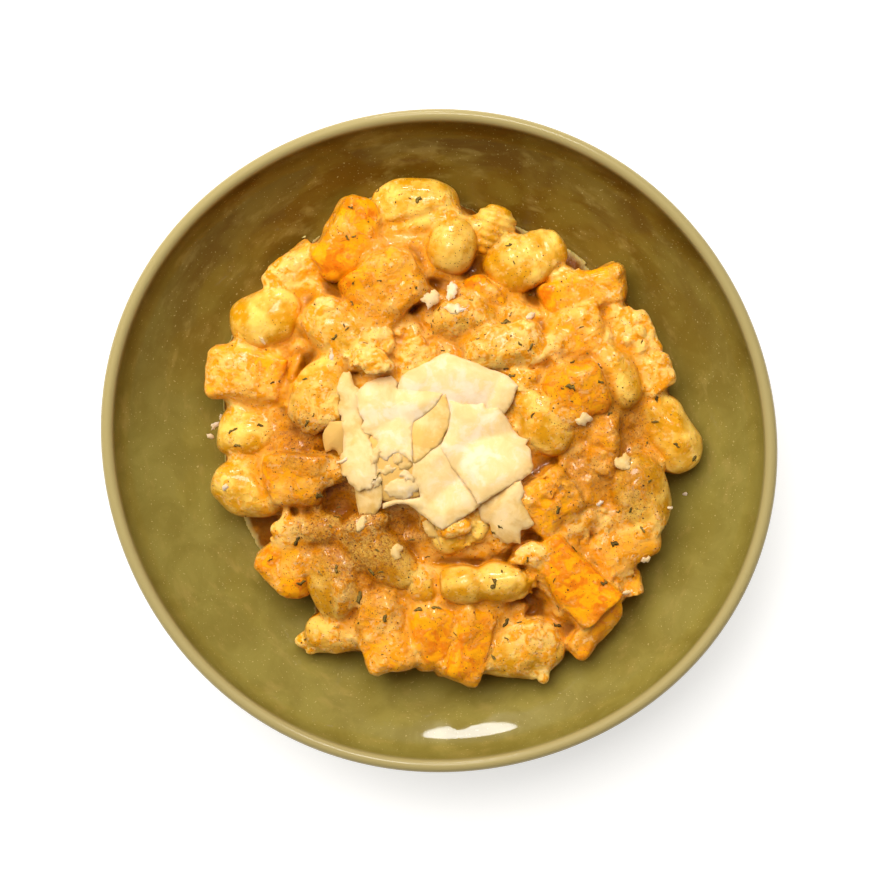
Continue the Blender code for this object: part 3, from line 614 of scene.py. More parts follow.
class Heap:
    """The food on its grid: the field of each kind, the sauce's, and the height of what is on top."""

    def __init__(self):
        boxes = [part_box(node) for node in heap_nodes() + ["sauce"]]
        low = np.min([box[0] for box in boxes], axis=0) / MM
        high = np.max([box[1] for box in boxes], axis=0) / MM
        self.axes = grid_axes(low - MARGIN - 2, high + MARGIN + 2)
        self.cavity = cavity_height(*np.meshgrid(*self.axes[:2], indexing="ij"))
        shape = [len(axis) for axis in self.axes]
        self.squash_near = np.full(shape, FAR, np.float32)
        self.gnocco_near = np.full(shape, FAR, np.float32)
        self.coated = np.full(shape, FAR, np.float32)
        self.pieces = {}

    def add(self, node, seed):
        kind = node.split("_")[0]
        axes = piece_axes(node, MARGIN)
        field = piece_field(node, axes, seed)
        where = block(self.axes, axes)
        band = np.abs(field) < BAND
        points = grid_points(axes)[band]
        coat = np.full(field.shape, COAT_OF.get(node, COAT[kind]))
        for i, (size, depth) in enumerate(COAT_PATCHES):
            coat[band] += depth * smooth_noise(points, size, COAT_SEED + i)
        self.coated[where] = smooth_union(self.coated[where], field - coat, FILLET)
        near = self.squash_near if kind == "squash" else self.gnocco_near
        near[where] = np.minimum(near[where], field)
        self.pieces[node] = (field, axes)

    def tops_of(self, field):
        """The height of the field's surface over each point of the plan."""
        lower, upper = field[:, :, :-1], field[:, :, 1:]
        crossing = (lower < 0) & (upper >= 0)
        level = crossing.shape[2] - 1 - np.argmax(crossing[:, :, ::-1], axis=2)
        i, j = np.indices(level.shape)
        share = lower[i, j, level] / (lower[i, j, level] - upper[i, j, level])
        heights = self.axes[2][0] + (level + share) * STEP
        return np.where(crossing.any(axis=2), heights, self.cavity)

    def pour_sauce(self):
        pieces = np.minimum(self.squash_near, self.gnocco_near)
        rise = self.tops_of(pieces) - self.cavity
        on_piece = (rise > 0).astype(float)
        mean = blurred(rise, LEVEL_SPREAD) / np.maximum(blurred(on_piece, LEVEL_SPREAD), 0.05)
        low, high = HEAP_EDGE
        share = eased(np.clip((blurred(on_piece, EDGE_SPREAD) - low) / (high - low), 0, 1))
        level = self.cavity + (mean - LEVEL_SINK) * share - EDGE_UNDER * (1 - share)
        x, y = np.meshgrid(*self.axes[:2], indexing="ij")
        out = np.hypot(x - HEAP_CENTRE[0], y - HEAP_CENTRE[1]) / MOUND_RADIUS
        level = np.maximum(level, MOUND_PEAK - MOUND_FALL * out**2)
        slope = np.hypot(*np.gradient(level, STEP))
        z = self.axes[2][None, None, :]
        mound = (z - level[:, :, None]) / np.sqrt(1 + slope**2)[:, :, None]
        sauce = smooth_union(self.coated, mound.astype(np.float32), FILLET)
        tops = self.tops_of(np.minimum(sauce, pieces))
        for dollop in DOLLOPS:
            self.add_dollop(sauce, tops, *dollop)
        for x, y, width, depth in HOLLOWS:
            self.sink(sauce, x, y, width, depth)
        band = np.abs(sauce) < BAND / 2
        points = grid_points(self.axes)[band]
        thick = np.clip((pieces[band] - THICK_FROM) / THICK_RISE, THIN_LUMPS, 1)
        for i, (size, depth) in enumerate(SAUCE_LUMPS):
            crumpled = np.abs(smooth_noise(points, size, SAUCE_SEED + i))
            sauce[band] += depth * thick * (LUMP_RISE - crumpled)
        above_bowl = (z - self.cavity[:, :, None]) * WALL_STEEPNESS
        into_wall = np.clip(WALL_FOLLOW * sauce, -INTO_WALL, MOST_OVER_WALL)
        self.sauce = np.maximum(smooth_union(sauce, above_bowl, BOWL_FILLET), into_wall - above_bowl)
        self.sauce = self.sauce.astype(np.float32)
        self.coat = pieces - self.sauce
        self.tops = self.tops_of(np.minimum(self.sauce, pieces))
        # How far each place lies below the heap round it. The food's colour deepens with it to dark
        # orange-brown: painted shade in the creases and hollows.
        crease_shade = sum(blurred(self.tops, spread) - self.tops for spread in CREASE_SPREADS)
        self.crease_shade = blurred(crease_shade, CREASE_BLUR)

    def window(self, low, high):
        """The slices of the grid's plan from one corner to the other."""
        return tuple(slice(*np.searchsorted(axis, ends)) for axis, *ends in zip(self.axes, low, high))

    def around(self, x, y, reach):
        """The slices of the grid's plan round a place, and how far across and along they are from it."""
        where = self.window((x - reach, y - reach), (x + reach, y + reach))
        return where, self.axes[0][where[0]] - x, self.axes[1][where[1]] - y

    def add_dollop(self, sauce, tops, x, y, lift, length, width, heading):
        where, *offsets = self.around(x, y, length)
        turn = math.radians(heading)
        across, along, z = np.meshgrid(*offsets, self.axes[2], indexing="ij", sparse=True)
        top = float(sampled(tops, self.axes[:2], np.array(((x, y),)))[0])
        u = (across * math.cos(turn) + along * math.sin(turn)) / (length / 2)
        v = (along * math.cos(turn) - across * math.sin(turn)) / (width / 2)
        w = (z - top - lift) / (width / 3)
        blob = (np.sqrt(u * u + v * v + w * w) - 1) * width / 3
        sauce[where] = smooth_union(sauce[where], blob.astype(np.float32), FILLET)

    def sink(self, sauce, x, y, width, depth):
        where, *offsets = self.around(x, y, 3 * width)
        across, along = np.meshgrid(*offsets, indexing="ij")
        pit = depth * np.exp(-(across**2 + along**2) / (2 * width**2))
        sauce[where] += pit[:, :, None].astype(np.float32)

    def top_at(self, points):
        """The height of what is on top."""
        return self.plan_at(self.tops, points)

    def plan_at(self, plan, points):
        """A value of the plan, between its four nearest points."""
        place = [
            np.clip((points[:, i] - axis[0]) / STEP, 0, len(axis) - 1.001)
            for i, axis in enumerate(self.axes[:2])
        ]
        (i, j), (u, v) = [p.astype(int) for p in place], [p % 1 for p in place]
        near = plan[i, j] * (1 - v) + plan[i, j + 1] * v
        far = plan[i + 1, j] * (1 - v) + plan[i + 1, j + 1] * v
        return near * (1 - u) + far * u


def sampled(field, axes, points):
    """The field's value at the grid point nearest each point."""
    places = [
        np.clip(np.round((points[:, i] - axis[0]) / STEP).astype(int), 0, len(axis) - 1)
        for i, axis in enumerate(axes)
    ]
    return field[tuple(places)]


def add_food_attributes(mesh, heap):
    """What the food's colour depends on at each vertex: how thick the sauce is there, below zero
    where the piece shows, how near squash is, how much spice has fallen there, which in two patches
    is painted shadow, and how deep the place lies in a crease, which sets painted shade."""
    points = vectors(mesh.vertices, "co", np.float32) / MM
    add_attribute(mesh, "coat", sampled(heap.coat, heap.axes, points))
    squash = sampled(heap.squash_near, heap.axes, points)
    gnocco = sampled(heap.gnocco_near, heap.axes, points)
    add_attribute(mesh, "squash", np.clip(0.5 + (gnocco - squash) / KIND_BLEND, 0, 1))
    spice_and_shadow = np.zeros(len(points))
    for x, y, width, strength in SPICE_AND_SHADOW_PATCHES:
        apart = (points[:, 0] - x) ** 2 + (points[:, 1] - y) ** 2
        spice_and_shadow += strength * np.exp(-apart / (2 * width**2))
    add_attribute(mesh, "spice_and_shadow", np.clip(spice_and_shadow / 2, 0, 1))
    add_attribute(mesh, "crease_shade", heap.plan_at(heap.crease_shade, points))
    film = points[:, 2] - cavity_height(points[:, 0], points[:, 1])
    add_attribute(mesh, "film", 1 - np.clip(film / FILM, 0, 1))


# ---- cheese ----


def torn(corners, seed):
    """The outline with points close together, whose sides wander by the roughness at their start."""
    rng = np.random.default_rng(seed)
    outline = []
    for start, end in zip(corners, corners[1:] + corners[:1]):
        rough = start[2] if len(start) > 2 else EDGE_ROUGHNESS
        side = [np.array(start[:2], float), np.array(end[:2], float)]
        while np.linalg.norm(side[1] - side[0]) > EDGE_STEP:
            halves = []
            for a, b in zip(side, side[1:]):
                across = np.array((a[1] - b[1], b[0] - a[0]))
                halves += [a, (a + b) / 2 + across * rough * rng.uniform(-1, 1)]
            side = halves + [side[-1]]
        outline += side[:-1]
    return np.array(outline)


def inside(points, outline):
    """Whether a line from each point to the right crosses the outline an odd number of times."""
    crossings = np.zeros(len(points), int)
    for a, b in zip(outline, np.roll(outline, -1, axis=0)):
        spans = (a[1] > points[:, 1]) != (b[1] > points[:, 1])
        if spans.any():
            x = a[0] + (points[:, 1] - a[1]) / (b[1] - a[1]) * (b[0] - a[0])
            crossings += spans & (x > points[:, 0])
    return crossings % 2 == 1


def edge_distance(points, outline):
    sides = zip(outline, np.roll(outline, -1, axis=0))
    return np.min([near_segment(*points.T, start, end) for start, end in sides], axis=0)


def points_inside(outline, rng):
    low, high = outline.min(axis=0), outline.max(axis=0)
    rows = [np.arange(a, b, SHEET_STEP) for a, b in zip(low, high)]
    points = np.stack(np.meshgrid(*rows), axis=-1).reshape(-1, 2)
    points = points + rng.uniform(-SHEET_JITTER, SHEET_JITTER, points.shape) * SHEET_STEP
    points = points[inside(points, outline)]
    return points[edge_distance(points, outline) > SHEET_MARGIN]


def draped(heap, samples, points):
    """The height of a sheet over the heap at these points. It leans only a little, and bends over
    the highest of the samples."""
    tops = heap.top_at(samples)
    rows = np.column_stack((np.ones(len(samples)), samples))
    lean = np.linalg.lstsq(rows, tops, rcond=None)[0][1:]
    lean *= min(1.0, SHEET_STEEPEST / max(np.linalg.norm(lean), 1e-6))
    above_plane = tops - samples @ lean
    apart = ((points[:, None, :] - samples[None, :, :]) ** 2).sum(axis=2)
    return points @ lean + (above_plane[None, :] - apart / (2 * SHEET_DRAPE)).max(axis=1)


def sheet(heap, corners, curl, heading, tone_and_shade, seed, thickness=SHEET_THICKNESS):
    """The points, faces and tints, partly painted shade, of a torn sheet lying on the heap, which then
    carries it.
    """
    rng = np.random.default_rng(seed)
    outline = torn(list(corners), seed)
    ahead = np.roll(outline, -1, axis=0)
    if (outline[:, 0] * ahead[:, 1] - outline[:, 1] * ahead[:, 0]).sum() < 0:
        outline = outline[::-1]  # so that the faces of its sides point outwards
    count = len(outline)
    corners = np.concatenate((outline, points_inside(outline, rng)))
    made = delaunay_2d_cdt([Vector(p) for p in corners], [], [list(range(count))], 1, 1e-6)
    points = np.array([tuple(p) for p in made[0]])
    faces = np.array(made[2])
    away = edge_distance(points, outline)
    bulk = np.clip(away / SHEET_TAPER, 0, 1)
    depth = thickness * (SHEET_EDGE + (1 - SHEET_EDGE) * bulk * (2 - bulk))
    depth = depth * (1 + UNEVEN * smooth_noise(points, UNEVEN_SIZE, seed))
    middle = outline.mean(axis=0)
    across = np.array((math.cos(math.radians(heading)), math.sin(math.radians(heading))))
    half = np.abs((outline - middle) @ across).max()
    samples = points[rng.permutation(len(points))[:SHEET_SAMPLES]]
    under = draped(heap, samples, points) + SHEET_CLEARANCE
    under += curl * ((points - middle) @ across / half) ** 2
    waves = WAVE * (1 + smooth_noise(points, WAVE_SIZE, seed + 1))
    under += waves + RIPPLE * smooth_noise(points, RIPPLE_SIZE, seed + 2)
    gap = under - heap.top_at(points) - EDGE_CLEARANCE
    under -= np.clip(gap, 0, EDGE_DROOP) * (1 - bulk)
    top = under + depth + GRAIN * smooth_noise(points, GRAIN_SIZE, seed + 3)
    window = heap.window(outline.min(axis=0) - 1, outline.max(axis=0) + 1)
    cells = grid_points([axis[part] for axis, part in zip(heap.axes, window)])
    hit = inside(cells.reshape(-1, 2), outline).reshape(cells.shape[:2])
    apart = ((cells[hit][:, None, :] - points[None, :, :]) ** 2).sum(axis=2)
    carried = heap.tops[window]
    carried[hit] = np.maximum(carried[hit], top[apart.argmin(axis=1)])
    backed = np.clip(sampled(heap.cheese, heap.axes[:2], points), 0, 2) / 2
    heap.cheese[window] += hit
    total = len(points)
    ring = np.arange(count)
    after = (ring + 1) % count
    sides = [(ring, after, after + total), (ring, after + total, ring + total)]
    all_points = np.concatenate((np.column_stack((points, under)), np.column_stack((points, top))))
    all_faces = np.concatenate((faces[:, ::-1], faces + total, *map(np.column_stack, sides)))
    thin = 1 - np.clip(away / SHEET_PALE, 0, 1)
    # The sheet's given tone, which on two sheets is painted shade, deepened where it is thin and where no
    # other sheet is under it.
    tint_and_shade = tone_and_shade + THIN_TINT * thin + BARE_TINT * (1 - backed)
    return all_points, all_faces, np.tile(tint_and_shade, 2)


def add_cheese(heap):
    heap.cheese = np.zeros(heap.tops.shape, int)
    material = cheese_material()
    sheets = {}
    for number, (node, curl, heading, tone_and_shade, corners) in enumerate(SHEETS):
        sheets.setdefault(node, []).append(sheet(heap, corners, curl, heading, tone_and_shade, SHEET_SEED + number))
    for node, parts in sheets.items():
        add_sheets(node + "_torn", parts, material, node)
    rng = np.random.default_rng(CORNER_SEED)
    flakes = []
    for number, (x, y, length, width, heading, tone_and_shade) in enumerate(FLAKES):
        turns = np.arange(FLAKE_CORNERS) * math.pi / 3 + rng.uniform(-FLAKE_TURN, FLAKE_TURN, FLAKE_CORNERS)
        along = np.cos(turns) * length / 2 * rng.uniform(*FLAKE_REACH, FLAKE_CORNERS)
        aside = np.sin(turns) * width / 2 * rng.uniform(*FLAKE_REACH, FLAKE_CORNERS)
        turn = math.radians(heading)
        place_x = x + along * math.cos(turn) - aside * math.sin(turn)
        place_y = y + along * math.sin(turn) + aside * math.cos(turn)
        corners = [(a, b, TORN) for a, b in zip(place_x, place_y)]
        tone_and_shade -= FLAKE_PALER
        flakes.append(sheet(heap, corners, FLAKE_CURL, heading, tone_and_shade, FLAKE_SEED + number, FLAKE_THICKNESS))
    add_sheets("cheese_flakes", flakes, material)


def add_sheets(name, parts, material, *nodes):
    mesh = joined(name, parts, "tint_and_shade")
    sides = np.abs(vectors(mesh.polygons, "normal", np.float32)[:, 2]) < 0.5
    mesh.attributes.new("sharp_face", "BOOLEAN", "FACE").data.foreach_set("value", sides)
    make_piece(name, mesh, material, "cheese", *nodes)


# ---- herbs and pepper ----


def laid_on(heap, x, y, heading, shape, sunk):
    """Points of a small shape, turned to lie on the heap's surface at this place."""
    reach = 1.2
    around = np.array(((x + reach, y), (x - reach, y), (x, y + reach), (x, y - reach)))
    east, west, north, south = heap.top_at(around)
    normal = Vector(((west - east) / (2 * reach), (south - north) / (2 * reach), 1)).normalized()
    along = Vector((math.cos(heading), math.sin(heading), 0))
    along = (along - normal * along.dot(normal)).normalized()
    frame_axes = np.array((along, normal.cross(along), normal))
    top = float(heap.top_at(np.array(((x, y),)))[0])
    return np.array(shape) @ frame_axes + (x, y, top - sunk)


LEAF_STATIONS = ((0, 0.35), (0.25, 0.9), (0.5, 0.8), (0.75, 0.9), (1, 0.3))
LEAF_LIFT = 0.25
LEAF_FOLD = 0.12  # of its width: how far its middle is raised
LEAF_BACK = 0.18
LEAF_WARP = 0.2
LEAF_LEAN = 0.3
LEAF_GIRTHS = (0.4, 1.4)


def leaf_shape(length, width, curl, rng):
    """A crushed dried leaf, folded along its middle, as four-sided rings: points, then faces."""
    points = []
    for share, girth in LEAF_STATIONS:
        along = (share - 0.5) * length
        lift = curl * (2 * share - 1) ** 2 + LEAF_LIFT
        middle = width * rng.uniform(-LEAF_LEAN, LEAF_LEAN)
        left, right = (width * girth / 2 * rng.uniform(*LEAF_GIRTHS) for _ in range(2))
        points += [
            (along, middle - left, lift + width * rng.uniform(-LEAF_WARP, LEAF_WARP)),
            (along, middle, lift + width * LEAF_FOLD),
            (along, middle + right, lift + width * rng.uniform(-LEAF_WARP, LEAF_WARP)),
            (along, middle, lift - LEAF_BACK),
        ]
    rings = len(LEAF_STATIONS)
    faces = [(0, 1, 2), (0, 2, 3)]
    for ring in range(rings - 1):
        for side in range(4):
            a, b = 4 * ring + side, 4 * ring + (side + 1) % 4
            faces += [(a, a + 4, b + 4), (a, b + 4, b)]
    last = 4 * (rings - 1)
    faces += [(last, last + 2, last + 1), (last, last + 3, last + 2)]
    return points, faces


SPECK_POINTS = np.array(((1, 0, 0), (-0.4, 0.9, 0), (-0.5, -0.8, 0.1), (0.1, 0.1, 0.7), (0, 0, -0.6)))
SPECK_FACES = np.array(((0, 1, 3), (1, 2, 3), (2, 0, 3), (1, 0, 4), (2, 1, 4), (0, 2, 4)))


def scattered(heap, count, seed, spread_base, on_cheese):
    """Random places on the food, closer together where the spice lies thick and in the two patches of
    painted shadow.
    """
    rng = np.random.default_rng(seed)
    patches = np.array(SPICE_AND_SHADOW_PATCHES)
    centres, widths, strengths = patches[:, :2], patches[:, 2], patches[:, 3]
    places = []
    while len(places) < count:
        x, y = rng.uniform(*FOOD_CORNERS)
        near = strengths * np.exp(-((centres - (x, y)) ** 2).sum(axis=1) / (2 * widths**2))
        here = np.array(((x, y),))
        if rng.random() > (spread_base + near.sum()) / (spread_base + strengths.max()):
            continue
        if float(heap.top_at(here)[0]) - float(cavity_height(x, y)) < LEAST_FOOD:
            continue
        if sampled(heap.cheese, heap.axes[:2], here)[0] and rng.random() > on_cheese:
            continue
        places.append((x, y))
    return places, rng


def add_herbs(heap):
    places, rng = scattered(heap, SMALL_LEAVES, HERB_SEED, 0.5, 0.05)
    leaves = []
    for x, y, length, heading in HERBS:
        leaves.append((x, y, length, math.radians(heading), HERB_WIDTH * length))
    for x, y in places:
        leaves.append((x, y, rng.uniform(*LEAF_LENGTHS), rng.uniform(0, math.pi), LEAF_WIDTH))
    parts = []
    for x, y, length, heading, width in leaves:
        width *= rng.uniform(0.6, 1.3)
        shape, faces = leaf_shape(0.85 * length, width, rng.uniform(0, 0.5), rng)
        points = laid_on(heap, x, y, heading, shape, 0.1)
        parts.append((points, np.array(faces), np.full(len(points), rng.random())))
    make_piece("dried_herbs", joined("dried_herbs", parts, "shade"), herb_material(), "sauce")


def add_specks(heap):
    places, rng = scattered(heap, SPECKS, SPECK_SEED, 0.25, 0.01)
    parts = []
    for x, y in places:
        size = rng.uniform(*SPECK_SIZES) * (COARSE_SIZE if rng.random() < COARSE_SHARE else 1)
        shape = SPECK_POINTS * size * rng.uniform(0.7, 1.3, (1, 3))
        points = laid_on(heap, x, y, rng.uniform(0, 2 * math.pi), shape, 0.02)
        parts.append((points, SPECK_FACES, np.full(len(points), rng.random())))
    make_piece("ground_pepper", joined("ground_pepper", parts, "shade"), pepper_material(), "sauce")


# ---- materials ----


def linear(colour):
    """A colour in Blender's own units from one in the usual 0 to 255."""
    parts = [part / 255 for part in colour]
    return (*[p / 12.92 if p < 0.04045 else ((p + 0.055) / 1.055) ** 2.4 for p in parts], 1)


class Recipe:
    """A material's nodes, with short names for the ones used here."""

    def __init__(self, name, **settings):
        self.material = bpy.data.materials.new(name)
        self.material.use_nodes = True
        self.nodes = self.material.node_tree.nodes
        self.links = self.material.node_tree.links
        self.shader = self.nodes["Principled BSDF"]
        self.place = self.nodes.new("ShaderNodeTexCoord").outputs["Object"]
        self.feed(self.shader, **settings)

    def feed(self, node, *numbered, **named):
        """Gives a node's inputs their values, by number or by name, or links them."""
        inputs = [(node.inputs[i], value) for i, value in enumerate(numbered) if value is not None]
        inputs += [(node.inputs[name.replace("_", " ")], value) for name, value in named.items()]
        for socket, value in inputs:
            if isinstance(value, bpy.types.NodeSocket):
                self.links.new(value, socket)
            else:
                socket.default_value = value

    def node(self, kind, *numbered, **named):
        made = self.nodes.new("ShaderNode" + kind)
        self.feed(made, *numbered, **named)
        return made

    def noise(self, size, detail=2, roughness=0.5, twist=0, place=None):
        """Noise from 0 to 1 with lumps of this size in millimetres."""
        made = self.node("TexNoise", Vector=place or self.place, Scale=1 / (size * MM), Detail=detail)
        self.feed(made, Roughness=roughness, Distortion=twist)
        return made.outputs["Fac"]

    def attribute(self, name):
        made = self.node("Attribute")
        made.attribute_name = name
        return made.outputs["Fac"]

    def along(self, axis):
        """The place along this axis in millimetres."""
        return self.times(self.node("SeparateXYZ", self.place).outputs[axis], 1 / MM)

    def turned(self, radius):
        """A place whose distance from the axis is kept, with ways round it as on a circle this size."""
        flat = self.vector_math("MULTIPLY", self.place, (1, 1, 0)).outputs["Vector"]
        way = self.vector_math("NORMALIZE", flat).outputs["Vector"]
        around = self.vector_math("SCALE", way, None, None, radius * MM).outputs["Vector"]
        out = self.vector_math("LENGTH", flat).outputs["Value"]
        upright = self.node("CombineXYZ", Z=out).outputs["Vector"]
        return self.vector_math("ADD", around, upright).outputs["Vector"]

    def vector_math(self, operation, *values):
        made = self.node("VectorMath", *values)
        made.operation = operation
        return made

    def math(self, operation, first, second):
        made = self.node("Math", first, second)
        made.operation = operation
        return made.outputs[0]

    def times(self, first, second):
        return self.math("MULTIPLY", first, second)

    def between(self, value, low, high, to_low=0.0, to_high=1.0):
        """Brings low..high smoothly to to_low..to_high, and stops there."""
        made = self.node("MapRange", value, low, high, to_low, to_high)
        made.interpolation_type = "SMOOTHSTEP"
        return made.outputs["Result"]

    def layered(self, colour, *layers):
        """The colour under layers, which are each how much shows and a colour."""
        for share, over in layers:
            made = self.node("Mix", Factor=share)
            made.data_type = "RGBA"
            for socket, value in ((made.inputs[6], colour), (made.inputs[7], over)):
                if isinstance(value, tuple):
                    socket.default_value = linear(value)
                else:
                    self.links.new(value, socket)
            colour = made.outputs[2]
        return colour

    def bump(self, height, depth, below=None):
        """A bump this many millimetres deep."""
        made = self.node("Bump", Distance=depth * MM, Height=height)
        if below is not None:
            self.feed(made, Normal=below)
        return made.outputs["Normal"]

    def finish(self, **surface):
        self.feed(self.shader, **surface)
        return self.material


def food_material(name):
    """Dough, squash and sauce, which run into each other: each piece is its own colour where it is
    bare, and takes the sauce's where the coat is thick. Creases and hollows are darkened with painted
    shade, and spice is dusted over it, which in two patches is painted shadow."""
    recipe = Recipe(
        name,
        Subsurface_Weight=0.2,
        Subsurface_Radius=(0.5, 0.26, 0.05),
        Subsurface_Scale=2 * MM,
        Specular_IOR_Level=0.2,
        Coat_Weight=0.4,
        Coat_Roughness=0.08,
    )
    broad = recipe.between(recipe.noise(8), 0.38, 0.62)
    lumps = recipe.between(recipe.noise(3.6, roughness=0.6, twist=0.6), 0.4, 0.6)
    curds = recipe.between(recipe.noise(1.8, roughness=0.6), 0.52, 0.7)
    crease_shade = recipe.attribute("crease_shade")
    nearness = recipe.attribute("squash")
    dough = recipe.layered(
        (248, 202, 92),
        (broad, (216, 150, 10)),
        (recipe.times(curds, 0.35), (252, 216, 136)),
        # Painted shade: the dough deepens to amber in its creases.
        (recipe.between(crease_shade, -0.2, 2.4, 0, 0.75), (204, 132, 2)),
    )
    squash = recipe.layered(
        (249, 166, 6), (lumps, (228, 120, 0)), (recipe.times(curds, 0.2), (252, 176, 40))
    )
    cream = recipe.layered(
        (252, 207, 112),
        (lumps, (236, 155, 14)),
        (recipe.times(nearness, 0.15), (238, 136, 8)),
        (recipe.times(curds, 0.6), (253, 214, 150)),
    )
    patchy = recipe.math("ADD", recipe.attribute("coat"), recipe.between(lumps, 0, 1, -0.4, 0.4))
    dust = recipe.between(recipe.noise(0.9, detail=4, roughness=0.8), 0.4, 0.66, 0.55, 1)
    spice_and_shadow_share = recipe.times(recipe.times(recipe.attribute("spice_and_shadow"), dust), 0.9)
    colour = recipe.layered(
        dough,
        (nearness, squash),
        (recipe.between(patchy, -0.5, 0.8), cream),
        # Painted shade: deeper orange in the creases and dark brown in the deepest hollows.
        (recipe.between(crease_shade, -0.2, 2.3, 0, 0.7), (221, 139, 4)),
        (recipe.between(crease_shade, 2.0, 4.8, 0, 0.9), (112, 56, 0)),
        (recipe.attribute("film"), (210, 190, 118)),
        # Spice dusted over the food, and in two patches painted shadow under the cheese.
        (spice_and_shadow_share, (142, 76, 0)),
    )
    grain = recipe.times(recipe.noise(1.2), recipe.between(patchy, -0.6, 0.6, 0.3, 1))
    normal = recipe.bump(grain, 0.3, recipe.bump(recipe.noise(2.6), 0.4))
    return recipe.finish(Base_Color=colour, Roughness=recipe.between(lumps, 0, 1, 0.3, 0.45), Normal=normal)


def cheese_material():
    """Hard cheese: pale where it is thick, deeper where it is thin enough to see through, and deeper on two
    sheets whose tone is painted shade.
    """
    recipe = Recipe(
        "shaved_cheese",
        Subsurface_Weight=0.3,
        Subsurface_Radius=(0.9, 0.75, 0.5),
        Subsurface_Scale=1.5 * MM,
        Specular_IOR_Level=0.3,
    )
    cloud = recipe.noise(6, detail=5, roughness=0.6, twist=0.4)
    grain = recipe.noise(1.3, detail=5, roughness=0.7)
    tint_and_shade = recipe.math("ADD", recipe.attribute("tint_and_shade"), recipe.between(cloud, 0.35, 0.65, -0.3, 0.3))
    colour = recipe.layered(
        (252, 240, 202),
        (recipe.between(tint_and_shade, -0.6, 0), (247, 219, 184)),
        (recipe.between(tint_and_shade, 0, 0.6), (246, 208, 146)),
        # The deepest tan, for the greyish chip and for the sheets whose tone is painted shade.
        (recipe.between(tint_and_shade, 0.5, 1.4), (231, 181, 98)),
        (recipe.between(grain, 0.6, 0.8, 0, 0.6), (250, 226, 188)),
    )
    normal = recipe.bump(grain, 0.14, recipe.bump(cloud, 0.25))
    roughness = recipe.between(grain, 0.3, 0.7, 0.45, 0.65)
    return recipe.finish(Base_Color=colour, Roughness=roughness, Normal=normal)


def herb_material():
    recipe = Recipe("dried_herb", Specular_IOR_Level=0.15, Roughness=0.75)
    vein = recipe.noise(0.5, detail=3)
    colour = recipe.layered(
        (86, 72, 32),
        (recipe.attribute("shade"), (146, 124, 60)),
        (recipe.between(vein, 0.4, 0.7), (96, 70, 30)),
    )
    return recipe.finish(Base_Color=colour, Normal=recipe.bump(vein, 0.1))


def pepper_material():
    recipe = Recipe("ground_pepper", Roughness=0.8)
    colour = recipe.layered(
        (60, 34, 12),
        (recipe.between(recipe.attribute("shade"), 0.3, 0.7), (150, 80, 20)),
        (recipe.between(recipe.noise(0.3), 0.5, 0.7), (92, 58, 28)),
    )
    return recipe.finish(Base_Color=colour)


def glaze_material():
    """Olive glaze, wiped round the bowl, that breaks pale where it is thin. Towards the far wall, at +y,
    it is darker and browner in patches: painted shade and painted reflection of the food.
    """
    recipe = Recipe("olive_glaze", Specular_IOR_Level=0.2, Coat_Weight=0.4, Coat_Roughness=0.04)
    mottle = recipe.between(recipe.noise(14, detail=5, roughness=0.6, twist=0.5), 0.35, 0.65)
    turned = recipe.turned(32)
    painted_reflection_patches = recipe.between(recipe.noise(11, detail=5, roughness=0.6, twist=0.4, place=turned), 0.38, 0.62)
    # Painted shade: the glaze darkens towards the far wall, at +y, which faces away from the light.
    side = recipe.between(recipe.along("Y"), -10, 95, 0.05, 1)
    wiped = recipe.noise(5, detail=4, roughness=0.65, twist=0.2, place=turned)
    height = recipe.along("Z")
    colour = recipe.layered(
        (140, 127, 58),
        (mottle, (127, 113, 46)),
        # Painted shade, and in patches a painted reflection of the orange food, on the far wall.
        (recipe.times(side, 0.75), (112, 82, 12)),
        (recipe.times(recipe.times(painted_reflection_patches, side), 0.8), (92, 60, 2)),
        (recipe.between(wiped, 0.52, 0.72, 0, 0.5), (156, 134, 68)),
        (recipe.between(recipe.noise(0.7, detail=1), 0.69, 0.75, 0, 0.5), (196, 176, 112)),
        (recipe.between(height, RIM_HEIGHT - 3.8, RIM_HEIGHT - 1.2), (166, 150, 98)),
        (recipe.between(height, 0.4, 0.9, 1, 0), (196, 176, 142)),
    )
    normal = recipe.bump(recipe.noise(26, detail=1), 0.08)
    return recipe.finish(Base_Color=colour, Roughness=recipe.between(mottle, 0, 1, 0.3, 0.4), Normal=normal)


# ---- camera, light and floor ----


def add_camera():
    data = bpy.data.cameras.new("camera")
    data.lens = CAMERA_LENS
    data.sensor_width = SENSOR_WIDTH
    camera = add_object("camera", data)
    distance = FRAME_WIDTH * CAMERA_LENS / SENSOR_WIDTH
    camera.location = [part * MM for part in (*CAMERA_ASIDE, RIM_HEIGHT + distance)]
    bpy.context.scene.camera = camera


def add_light(name, azimuth, elevation, size, power, colour=(1, 1, 1)):
    data = bpy.data.lights.new(name, "AREA")
    data.shape = "RECTANGLE"
    data.size, data.size_y = size
    data.energy = power
    data.color = colour
    light = add_object(name, data)
    turn, rise = math.radians(azimuth), math.radians(elevation)
    towards = Vector((math.cos(turn) * math.cos(rise), math.sin(turn) * math.cos(rise), math.sin(rise)))
    light.location = towards * LIGHT_DISTANCE
    light.rotation_euler = towards.to_track_quat("Z", "Y").to_euler()
    return light


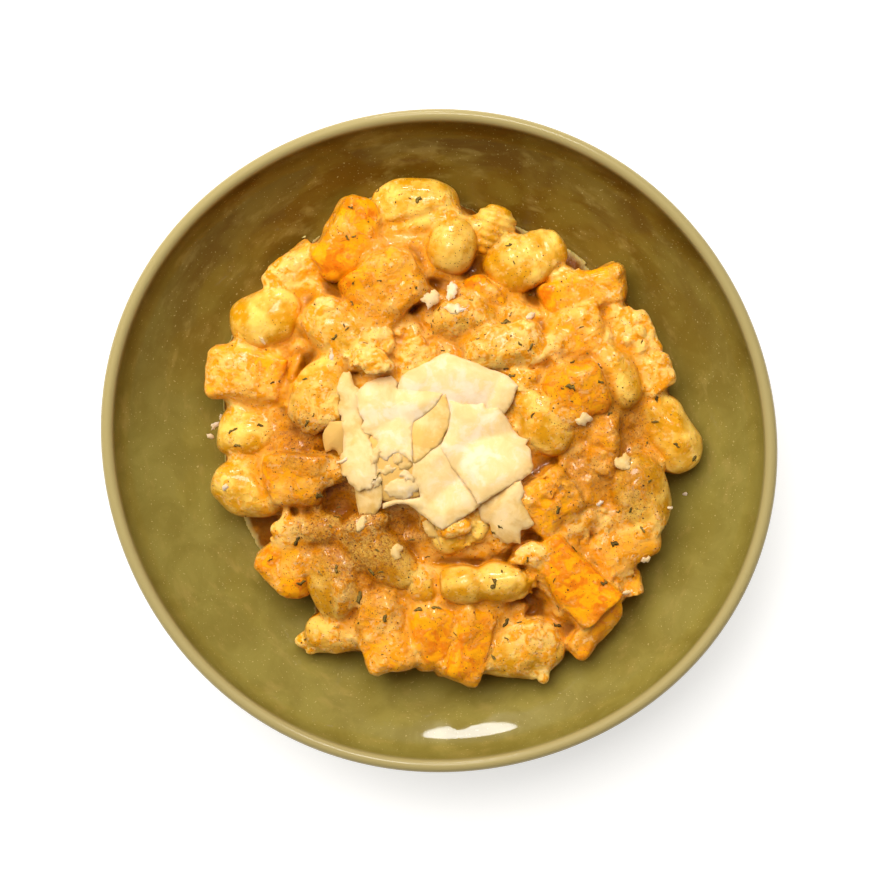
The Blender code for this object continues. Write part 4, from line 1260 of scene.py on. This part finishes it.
def add_lights():
    """A large soft light, and two small ones that only show in the glaze."""
    key = add_light("key", 118, 58, (1.2, 1.0), 22, WARM)
    key.visible_glossy = False
    for name, *place in (("lens", 95.3, 28.5, (0.28, 0.09), 2.3), ("gleam", 80, 62, (0.35, 0.25), 3.4)):
        shine = add_light(name, *place)
        shine.data.shape = "ELLIPSE"
        shine.visible_diffuse = False
    world = bpy.data.worlds.new("studio")
    world.use_nodes = True
    world.node_tree.nodes["Background"].inputs["Color"].default_value = (1, 0.95, 0.88, 1)
    world.node_tree.nodes["Background"].inputs["Strength"].default_value = 0.2
    bpy.context.scene.world = world
    bpy.context.scene.view_settings.view_transform = "Standard"


def add_stage():
    mesh = bpy.data.meshes.new("floor")
    half = FLOOR_SIZE / 2
    corners = [(-half, -half, 0), (half, -half, 0), (half, half, 0), (-half, half, 0)]
    mesh.from_pydata(corners, [], [(0, 1, 2, 3)])
    recipe = Recipe(
        "pale_floor",
        Roughness=0.8,
        Specular_IOR_Level=0.1,
        Emission_Strength=0.6,
        Emission_Color=(1, 1, 1, 1),
    )
    pale = recipe.layered(FLOOR_COLOUR, (recipe.noise(60), FLOOR_CLOUDS))
    mesh.materials.append(recipe.finish(Base_Color=pale))
    add_object("floor", mesh)


# ---- making ----


def main():
    add_camera()
    add_lights()
    add_stage()
    make_piece("stoneware_bowl", bowl_mesh(), glaze_material(), "glaze", "bowl")

    heap = Heap()
    for number, node in enumerate(heap_nodes()):
        heap.add(node, 100 * number)
    heap.pour_sauce()
    sauce = with_fewer_faces(zero_surface("sauce_coat", heap.sauce, heap.axes), SAUCE_SHARE)
    add_food_attributes(sauce, heap)
    make_piece("sauce_coat", sauce, food_material("cream_sauce"), "sauce", "sauce")
    finish = {
        "gnocco": (food_material("sauced_gnocchi"), "gnocchi"),
        "squash": (food_material("sauced_squash"), "squash"),
    }
    for node, (field, axes) in heap.pieces.items():
        mesh = zero_surface(node + "_cooked", field, axes)
        add_food_attributes(mesh, heap)
        make_piece(node + "_cooked", mesh, *finish[node.split("_")[0]], node)
    add_cheese(heap)
    add_herbs(heap)
    add_specks(heap)


main()
